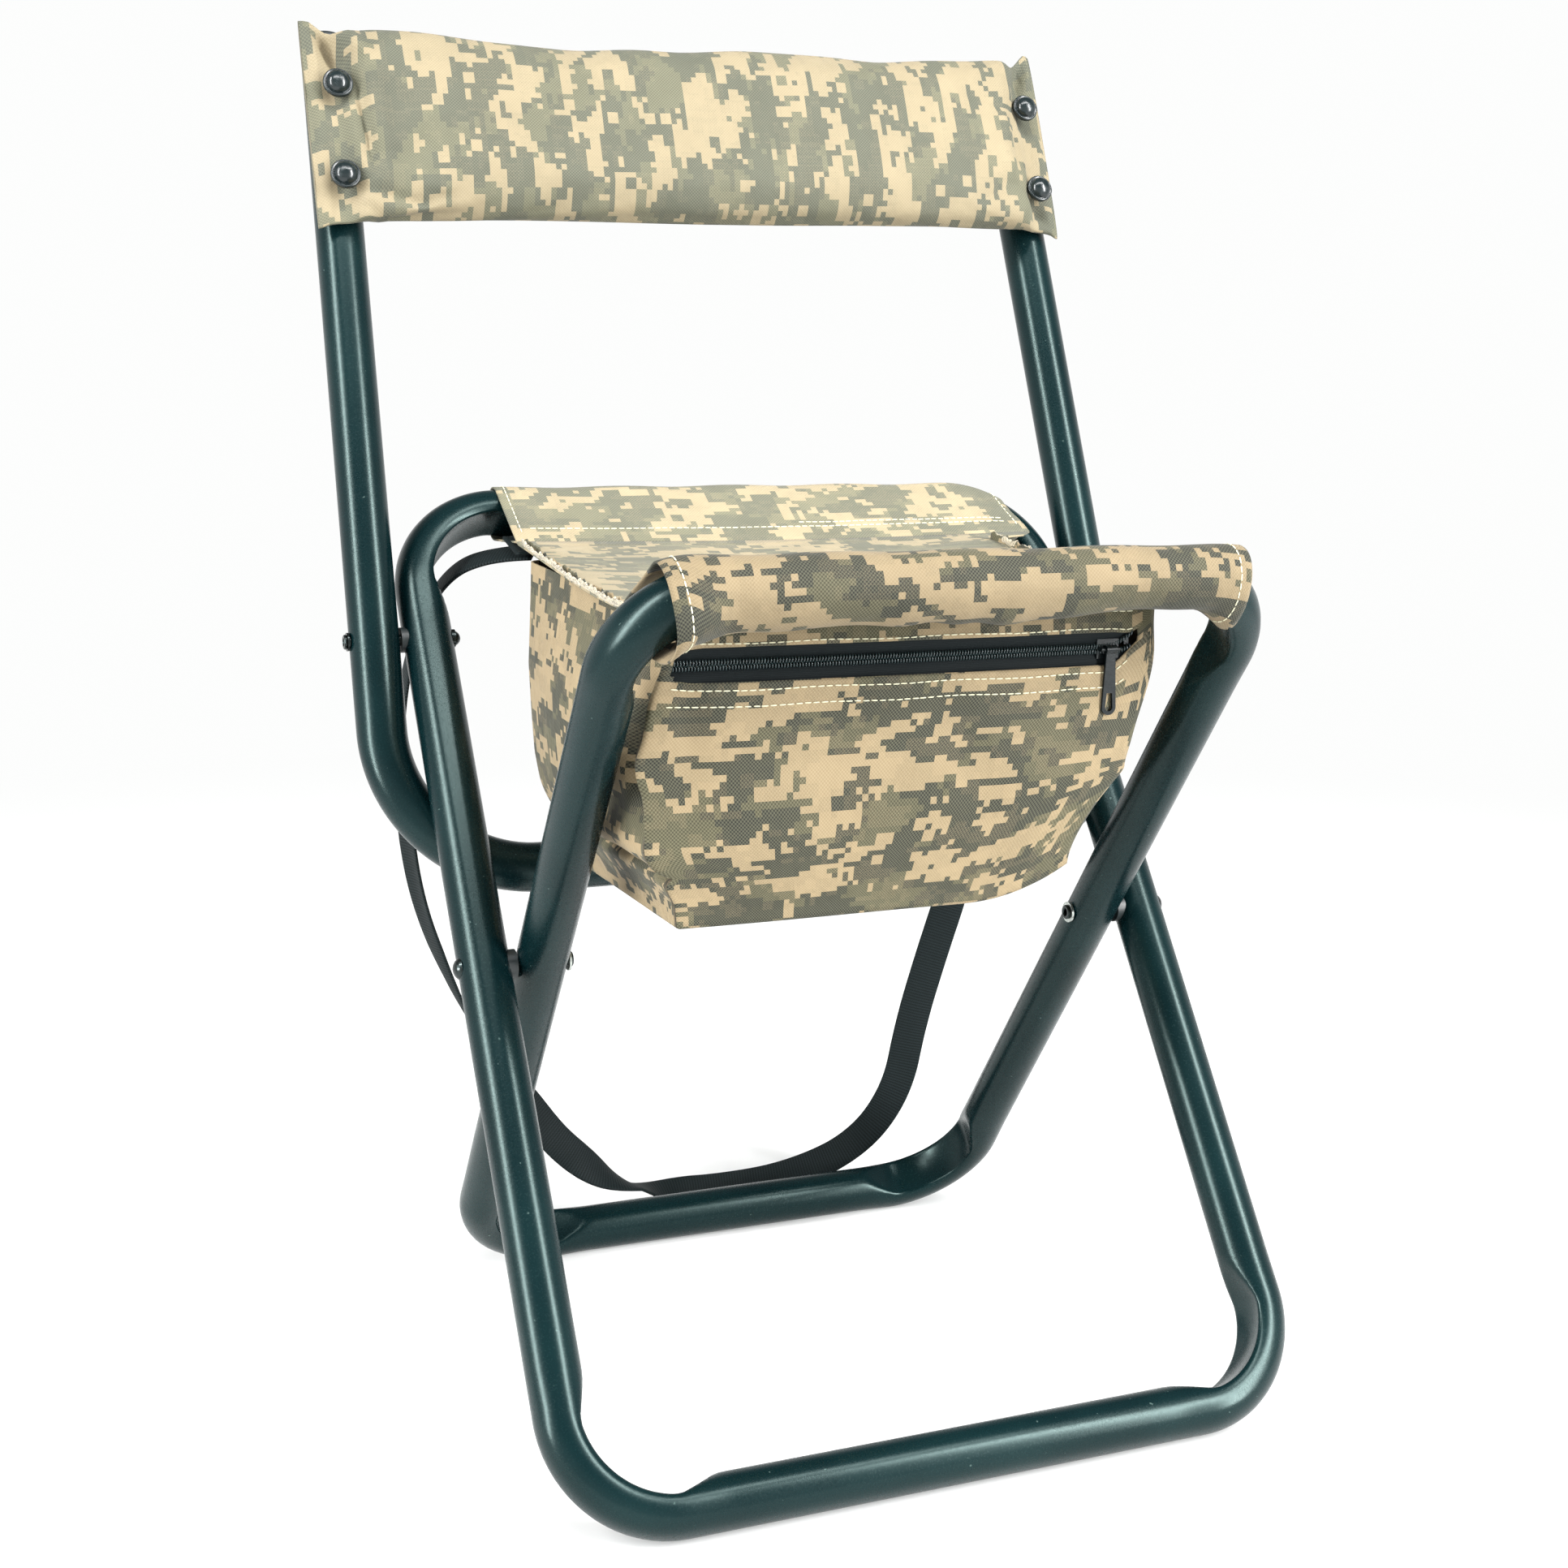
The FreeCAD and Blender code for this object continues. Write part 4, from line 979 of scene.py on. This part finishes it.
def crease_bag(grid):
    """Press the folds and creases of the limp cloth into the bag's rings."""
    x, y, z = grid[..., 0], grid[..., 1] - PIVOT[1], grid[..., 2]
    left = smooth_step(-x, 96, 104)
    right = smooth_step(x, 60, 90)
    behind = y + 86
    notch = bell(behind, 8 + 2.5 * np.sin(z / 9), 5.5) * bell(z, 300, 30) * left
    grid[..., 0] += 15 * notch
    hem = bell(behind, -1, 3.0) * bell(z, 290, 26) * left
    grid[..., 0] -= (2.4 + 1.2 * np.sin(z / 4.5)) * hem
    fold_z = 246 + 0.05 * behind + 2 * np.sin(behind / 16)
    low = left * (1 - smooth_step(behind, 60, 110))
    grid[..., 0] += (4.6 * bell(z, fold_z, 2.0) - 2.2 * bell(z, fold_z + 9, 6.5)) * low
    for wall, depth, level, slope, width, middle, reach in SIDE_FOLDS:
        fold = bell(z - (level + slope * behind), 0, width) * bell(behind, middle, reach)
        grid[..., 0] += depth * fold * (left if wall < 0 else right)
    front = smooth_step(-y, 78, 85)
    sag = bell(x, -70, 26) * bell(z, 262, 22) - 0.7 * bell(x, -98, 7) * bell(z, 300, 40)
    drape = 0.9 * np.sin(x / 21 + z / 50) * bell(z, 270, 45)
    drape -= 1.2 * bell(x + z * 0.35, 120, 10) * bell(z, 290, 40)
    grid[..., 1] -= (1.8 * sag + drape) * front
    grid[..., 0] = np.clip(grid[..., 0], -BAG_HALF_W, BAG_HALF_W)
    rear = smooth_step(y, 30, 60)
    grid[..., 1] += 1.6 * np.sin(x / 17 + z / 31) * rear * bell(z, 295, 40)
    return grid


def bag():
    """Limp bag with a slot for the zip; its wall is one shell with stitched seams."""
    grid, levels = bag_grid()
    cols = grid.shape[1]
    around = lengths_along(np.concatenate([grid[20], grid[20][:1]]))[:-1]
    down = np.concatenate([[0.0], np.cumsum(np.linalg.norm(np.diff(grid, axis=0), axis=2).mean(axis=1))])
    cloth = as_grid(around, down[:, None], 51)

    def in_slot(i, j):
        if i >= len(levels) - 1:
            return False
        z = (levels[i] + levels[i + 1]) / 2
        x = (grid[i, j, 0] + grid[i, (j + 1) % cols, 0]) / 2
        return j < FRONT_COLS and SLOT_BOTTOM < z < SLOT_TOP and SLOT_LEFT < x < SLOT_RIGHT

    obj = cloth_piece("bag_shell", grid, cloth, "outer_frame", CAMO, thickness=BAG_T, wrap_cols=True,
                      skip=in_slot)
    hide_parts("bag_front", "bag_back", "bag_floor", "bag_left_side", "bag_right_side")
    lines = []
    for level in (SLOT_TOP + 2.0, SLOT_TOP + 8.2, SLOT_BOTTOM - 2.6, SLOT_BOTTOM - 9.4):
        i = int(np.argmin([abs(z - level) for z in levels]))
        line = grid[i, 3:FRONT_COLS - 4] - np.array([0, BAG_T / 2 + 0.25, 0])
        line[:, 2] += 0.25 * np.sin(line[:, 0] / 9)
        lines.append(line)
    stitch_lines("zip_stitches", lines, "outer_frame")


# ---------------------------------------------------------------- zip

ZIP_Y = -86.4
ZIP_LEFT, ZIP_RIGHT = -106.0, 97.0
ZIP_OPEN_FROM = 79.0
COIL_PITCH = 1.25
COIL_HALF_W, COIL_HALF_T, COIL_HALF_H = 0.42, 0.62, 1.25
COIL_SHARES = (-1, -0.7, 0, 0.7, 1)
COIL_WIDTHS = (0.35, 0.85, 1, 0.85, 0.35)


def zip_line(x):
    """Height of the zip's middle line; it curves up past the slider."""
    return ZIP_Z + 6.0 * (np.clip(x - 84, 0, None) / 14) ** 1.7


def zip_part(x):
    """How far each half of the zip has moved off its middle line, past the slider."""
    return 2.2 * (np.clip(x - ZIP_OPEN_FROM, 0, None) / 18) ** 1.3


def zip_front(x):
    """Depth of the tapes behind the bag's bulging front."""
    return ZIP_Y + PIVOT[1] - 1.3 * np.sin(math.pi * (x + 107) / 212)


def zip_tape(name, sign, node):
    """Woven tape, held in the seam and free at the coil."""
    xs = np.linspace(ZIP_LEFT, ZIP_RIGHT, 120)
    rows = []
    for h in np.linspace(0, 1, 9):
        z = zip_line(xs) + sign * (1.0 + zip_part(xs) * (1 - h) + h * 7.6)
        z = np.clip(z, SLOT_BOTTOM - 2.5, SLOT_TOP + 2.5)
        y = zip_front(xs) + 1.2 - 1.5 * math.sin(h * 2.4) + 0.25 * np.sin(xs / 8 + sign) * h
        rows.append(np.column_stack([xs, y, z]))
    grid = np.stack(rows)
    obj = cloth_piece(name, grid, grid_cloth(grid, 70 + sign), "outer_frame", TAPE, "zip_tape", 0.6)
    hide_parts(node)


def zip_coil():
    """Two rows of nylon coil turns, closed up to the slider and parted after it."""
    points, faces = [], []
    count = int((ZIP_RIGHT - ZIP_LEFT - 4) / COIL_PITCH)
    for sign in (-1, 1):
        for k in range(count):
            x = ZIP_LEFT + 2 + (k + (0.5 if sign > 0 else 0)) * COIL_PITCH
            y, z = zip_front(x) - 0.7, zip_line(x) + sign * (0.95 + zip_part(x))
            centres = [np.array([x + 0.12 * at * sign, y + 0.35 * at * at, z + COIL_HALF_H * at])
                       for at in COIL_SHARES]
            add_bead(points, faces, centres, COIL_WIDTHS, X_AXIS * COIL_HALF_W, Y_AXIS * COIL_HALF_T)
    obj = add_piece("zip_coil_turns", points, faces, COIL, "outer_frame")
    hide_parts("zip_teeth")


def zip_fastener():
    zip_tape("zip_tape_top", 1, "zip_tape_upper")
    zip_tape("zip_tape_bottom", -1, "zip_tape_lower")
    zip_coil()


# ---------------------------------------------------------------- back panel

PANEL_HALF_W = 189.0
PANEL_LOW, PANEL_HIGH = 195.0, 288.0
PANEL_BACK, PANEL_T = 11.4, 13.6
PANEL_SKEW = 4.5
SCREW_LEVELS = (214.5, 259.0)
PANEL_RING = 72
PANEL_COLS = 170


def panel_place(x, w, f):
    """Point in the back hoop's plane: across, up the hoop, and in front of it."""
    return BACK_PIVOT + X_AXIS * x + BACK_UP * w + BACK_FRONT * f


def crease(x, w, start, end, width):
    """Narrow valley along a line on the panel."""
    a, b = np.array(start, float), np.array(end, float)
    d = b - a
    t = np.clip(((x - a[0]) * d[0] + (w - a[1]) * d[1]) / (d @ d), 0, 1)
    off = np.hypot(x - a[0] - t * d[0], w - a[1] - t * d[1])
    return np.exp(-(off / width) ** 2) * np.sin(math.pi * (0.1 + 0.8 * t))


def panel_shape():
    """Closed rings round the padded panel: (x, up, front) places before they are put on the hoop."""
    ends = np.array([PANEL_HALF_W - 0.6, PANEL_HALF_W])
    inner = PANEL_HALF_W - 2
    xs = np.concatenate([-ends[::-1], np.linspace(-inner, inner, PANEL_COLS), ends])
    turn = np.linspace(0, 2 * math.pi, PANEL_RING, endpoint=False)
    middle, half = (PANEL_LOW + PANEL_HIGH) / 2, (PANEL_HIGH - PANEL_LOW) / 2
    grid = np.zeros((len(xs), PANEL_RING, 3))
    for i, x in enumerate(xs):
        end = smooth_step(abs(x), 166, 178)
        rim = smooth_step(abs(x), 184, 189)
        thick = (PANEL_T + 4.6 * (1 - end)) * (1 - 0.35 * end) * (1 - 0.55 * rim)
        cos, sin = np.cos(turn), np.sin(turn)
        up = np.sign(cos) * np.abs(cos) ** 0.58
        out = np.sign(sin) * np.abs(sin) ** 0.75
        ear_top = 7.5 * bell(x, -189, 9) + 7.0 * bell(x, 187, 7)
        ear_low = 1.5 * bell(x, -189, 6) + 2.0 * bell(x, 189, 6)
        sag_top = -1.6 * math.cos(x / 120) + 0.7 * math.sin(x / 31)
        sag_top -= 3.0 * bell(x, -172, 9) + 2.0 * bell(x, 174, 7)
        sag_low = -1.0 * math.cos(x / 130) + 0.5 * math.sin(x / 27 + 1)
        w = middle + up * half
        w += np.where(up > 0, up ** 3 * (ear_top + sag_top), -np.abs(up) ** 3 * (ear_low + sag_low))
        w += PANEL_SKEW * x / BACK_HALF_W
        bow = -2.0 * math.cos(x / 115) * (1 - end)
        f = PANEL_BACK + thick / 2 + out * thick / 2 + bow
        grid[i] = np.column_stack([np.full(PANEL_RING, x), w, f])
    return grid


# Depth, start and end (across, up the hoop) and half width; a negative depth is a ridge
PANEL_CREASES = [
    (7.0, (-184, 292), (-172, 266), 3.4), (-4.4, (-178, 291), (-160, 270), 4.6),
    (5.0, (-168, 264), (-165, 216), 2.2), (-3.0, (-160, 268), (-158, 212), 4.0),
    (3.6, (-170, 208), (-140, 199), 2.6), (2.8, (-167, 218), (-134, 226), 3.0),
    (2.6, (-172, 203), (-158, 192), 2.4), (-2.2, (-150, 212), (-128, 204), 3.6),
    (2.2, (-163, 250), (-138, 258), 3.4), (5.6, (183, 293), (174, 268), 3.0),
    (3.8, (168, 260), (165, 222), 2.4), (-2.4, (160, 266), (158, 216), 4.4),
    (3.0, (170, 212), (184, 197), 2.6), (2.4, (166, 216), (140, 206), 3.0),
    (2.0, (164, 256), (140, 264), 3.2),
]


def wrinkle_panel(grid):
    """Folds and pulls of the panel's cloth, strongest by the screws."""
    x, w, f = grid[..., 0], grid[..., 1] - PANEL_SKEW * grid[..., 0] / BACK_HALF_W, grid[..., 2]
    front = smooth_step(f, PANEL_BACK + 4, PANEL_BACK + 8)
    push = np.zeros_like(x)
    for sign in (-1, 1):
        for level in SCREW_LEVELS:
            at = sign * (BACK_HALF_W - BACK_TAPER * level)
            off = np.hypot(x - at, w - level)
            push -= 3.4 * np.exp(-(off / 13) ** 2)
            pull = np.arctan2(w - level, x - at)
            push += 0.7 * np.sin(5 * pull + level) * np.exp(-((off - 16) / 8) ** 2)
    for depth, start, end, width in PANEL_CREASES:
        push -= depth * crease(x, w, start, end, width)
    push += 0.8 * np.sin(x / 19 + w / 23) * np.sin(x / 43) + 0.4 * np.sin(x / 8.3 - w / 11)
    push += 1.1 * np.sin(x / 27 + 1.2) * bell(w, PANEL_HIGH - 4, 9)
    grid[..., 2] = f + push * front
    return grid


PUFF_FRAMES = 15
PUFF_CAP = 4.0


def puff_panel(obj, rest):
    """Cloth simulation under pressure, held at its ends and screws, with the movement capped."""
    group = obj.vertex_groups.new(name="held")
    for k, (x, w, f) in enumerate(rest):
        level = w - PANEL_SKEW * x / BACK_HALF_W
        near = min(math.hypot(abs(x) - (BACK_HALF_W - BACK_TAPER * at), level - at) for at in SCREW_LEVELS)
        if near < 10 or abs(x) > 168 or f < PANEL_BACK + 3:
            group.add([k], 1.0, "REPLACE")
    modifier = obj.modifiers.new("puff", "CLOTH")
    puff = modifier.settings
    puff.quality = 4
    puff.use_pressure = True
    puff.uniform_pressure_force = 3.0
    puff.effector_weights.gravity = 0.0
    puff.tension_stiffness = puff.compression_stiffness = 18
    puff.bending_stiffness = 1.2
    puff.vertex_group_mass = "held"
    scene = bpy.context.scene
    for number in range(1, PUFF_FRAMES + 1):
        scene.frame_set(number)
    shaped = obj.evaluated_get(bpy.context.evaluated_depsgraph_get()).to_mesh()
    moved = np.array([v.co for v in shaped.vertices]) * 1000
    obj.modifiers.remove(modifier)
    scene.frame_set(1)
    start = np.array([v.co for v in obj.data.vertices]) * 1000
    step = moved - start
    size = np.linalg.norm(step, axis=1, keepdims=True)
    step *= np.minimum(1, PUFF_CAP / np.maximum(size, 1e-6))
    obj.data.vertices.foreach_set("co", ((start + step) / 1000).astype(np.float32).ravel())
    obj.data.update()


def back_panel():
    """Padded cloth panel."""
    grid = wrinkle_panel(panel_shape())
    rows, cols = grid.shape[:2]
    flat = grid.reshape(-1, 3)
    points = np.array([panel_place(*p) for p in flat])
    around = lengths_along(np.concatenate([grid[rows // 2], grid[rows // 2][:1]]))[:-1]
    cloth = as_grid(around, grid[..., 0], 83)
    faces = grid_faces(rows, cols, wrap_cols=True)
    for start in (0, (rows - 1) * cols):
        for j in range(cols // 2 - 1):
            quad = (start + j, start + j + 1, start + (cols - j - 2) % cols, start + (cols - j - 1) % cols)
            faces.append(quad if start == 0 else quad[::-1])
    obj = add_piece("back_panel_pad", points, faces, CAMO_PANEL,
                    cloth=cloth.reshape(-1, 3))
    puff_panel(obj, flat)
    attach(obj, "backrest")
    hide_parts("back_panel")


# ---------------------------------------------------------------- hardware

NODE_MATERIALS = {
    "outer_frame_spigot": STEEL, "inner_frame_spigot": STEEL, "backrest_end_plugs": PLASTIC,
    "leg_pivot_rivets": RIVET, "back_pivot_rivets": RIVET, "leg_pivot_washers": ZINC,
    "back_pivot_inner_washers": RIVET, "back_pivot_outer_washers": RIVET, "leg_pivot_spacers": PLASTIC,
    "back_pivot_spacers": PLASTIC,
    "zip_end_stops": ZIP_METAL, "zip_slider": ZIP_METAL, "zip_pull": ZIP_METAL,
}


# Radius and height over the cloth, from the top of the cap to the washer's underside
SCREW_PROFILE = [
    (0.0, 4.9), (1.6, 4.78), (3.0, 4.4), (4.1, 3.75), (4.9, 2.8), (5.25, 1.8), (5.3, 1.1), (5.55, 0.9),
    (5.9, 1.25), (6.35, 1.3), (6.7, 1.0), (6.8, 0.4), (6.8, -0.6), (6.2, -1.4),
]
SCREW_SEAT = 13.35
SCREW_SIDES = 36


def panel_screws():
    """Domed caps on rimmed washers."""
    points, faces = [], []
    for sign in (-1, 1):
        for level in SCREW_LEVELS:
            up = level + sign * PANEL_SKEW
            at = BACK_PIVOT + BACK_UP * up + X_AXIS * (sign * (BACK_HALF_W - BACK_TAPER * up))
            at = at + BACK_FRONT * (PANEL_BACK + SCREW_SEAT)
            start = len(points)
            for radius, height in SCREW_PROFILE:
                for turn in np.linspace(0, 2 * math.pi, SCREW_SIDES, endpoint=False):
                    out = X_AXIS * math.cos(turn) + BACK_UP * math.sin(turn)
                    points.append(at + out * radius + BACK_FRONT * height)
            faces += grid_faces(len(SCREW_PROFILE), SCREW_SIDES, wrap_cols=True, start=start, flip=True)
    obj = add_piece("panel_screw_caps", points, faces, SCREW, "backrest")
    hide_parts("back_panel_screws", "back_panel_washers")


EDGE_ROUND = 0.00025


def hardware():
    """CAD pieces that stay: better materials and small rounded edges."""
    for node, material in NODE_MATERIALS.items():
        obj = frame["nodes"][node]
        for k in range(len(obj.material_slots)):
            obj.material_slots[k].material = material
        bevel = obj.modifiers.new("edges", "BEVEL")
        bevel.width = EDGE_ROUND
        bevel.segments = 2
        bevel.limit_method = "ANGLE"
        bevel.angle_limit = math.radians(40)


# ---------------------------------------------------------------- studio

SKY_LOW = (0.98, 0.985, 0.98, 1)
SKY_HIGH = (0.23, 0.24, 0.24, 1)
# Name, place, aim, size and power
LIGHTS = [
    ("key", (1.15, -1.45, 1.05), (0, 0, 0.35), (0.30, 1.9), 92),
    ("side", (-1.75, -0.35, 1.0), (0, 0, 0.35), (0.22, 1.9), 68),
    ("top", (0.0, -0.75, 1.95), (0, 0, 0.25), (1.9, 0.24), 32),
]


def area_light(name, at, towards, size, energy):
    data = bpy.data.lights.new(name, "AREA")
    data.shape = "RECTANGLE"
    data.size, data.size_y = size
    data.energy = energy
    light = bpy.data.objects.new(name, data)
    bpy.context.scene.collection.objects.link(light)
    light.location = at
    light.rotation_mode = "QUATERNION"
    light.rotation_quaternion = (Vector(towards) - Vector(at)).to_track_quat("-Z", "Y")


def studio():
    """Pale floor that runs into pale surroundings, two upright softboxes and one overhead."""
    s = Surface("floor")
    place = s.node("TexCoord").outputs["Object"]
    reach = s.node("VectorMath", {0: place}, operation="LENGTH").outputs["Value"]
    away = s.between(reach, 0.55, 1.5, 0.33, 1.0)
    s.set(color=s.mix(away, (0.90, 0.905, 0.90, 1), (0, 0, 0, 1)), rough=0.95, specular=0.0)
    s.put(s.shader.inputs["Emission Color"], SKY_LOW)
    s.put(s.shader.inputs["Emission Strength"], away)
    bpy.ops.mesh.primitive_circle_add(vertices=96, radius=14, fill_type="NGON", location=(0, 0, 0))
    floor = bpy.context.object
    floor.name = "floor"
    floor.data.materials.append(s.material)
    world = bpy.data.worlds.new("studio")
    world.use_nodes = True
    tree = world.node_tree
    split = tree.nodes.new("ShaderNodeSeparateXYZ")
    tree.links.new(tree.nodes.new("ShaderNodeTexCoord").outputs["Generated"], split.inputs[0])
    ramp = tree.nodes.new("ShaderNodeValToRGB")
    ramp.color_ramp.elements[0].position, ramp.color_ramp.elements[0].color = 0.22, SKY_LOW
    ramp.color_ramp.elements[1].position, ramp.color_ramp.elements[1].color = 0.55, SKY_HIGH
    tree.links.new(split.outputs[2], ramp.inputs[0])
    tree.links.new(ramp.outputs[0], tree.nodes["Background"].inputs[0])
    bpy.context.scene.world = world
    for light in LIGHTS:
        area_light(*light)
    bpy.context.scene.view_settings.view_transform = "Standard"


# ---------------------------------------------------------------- build

make_camera()
strap()
strap_tabs()
tubes()
front_sleeve_and_apron()
raw_seams(seat_and_rear_sleeve())
bag()
zip_fastener()
back_panel()
panel_screws()
hardware()
studio()
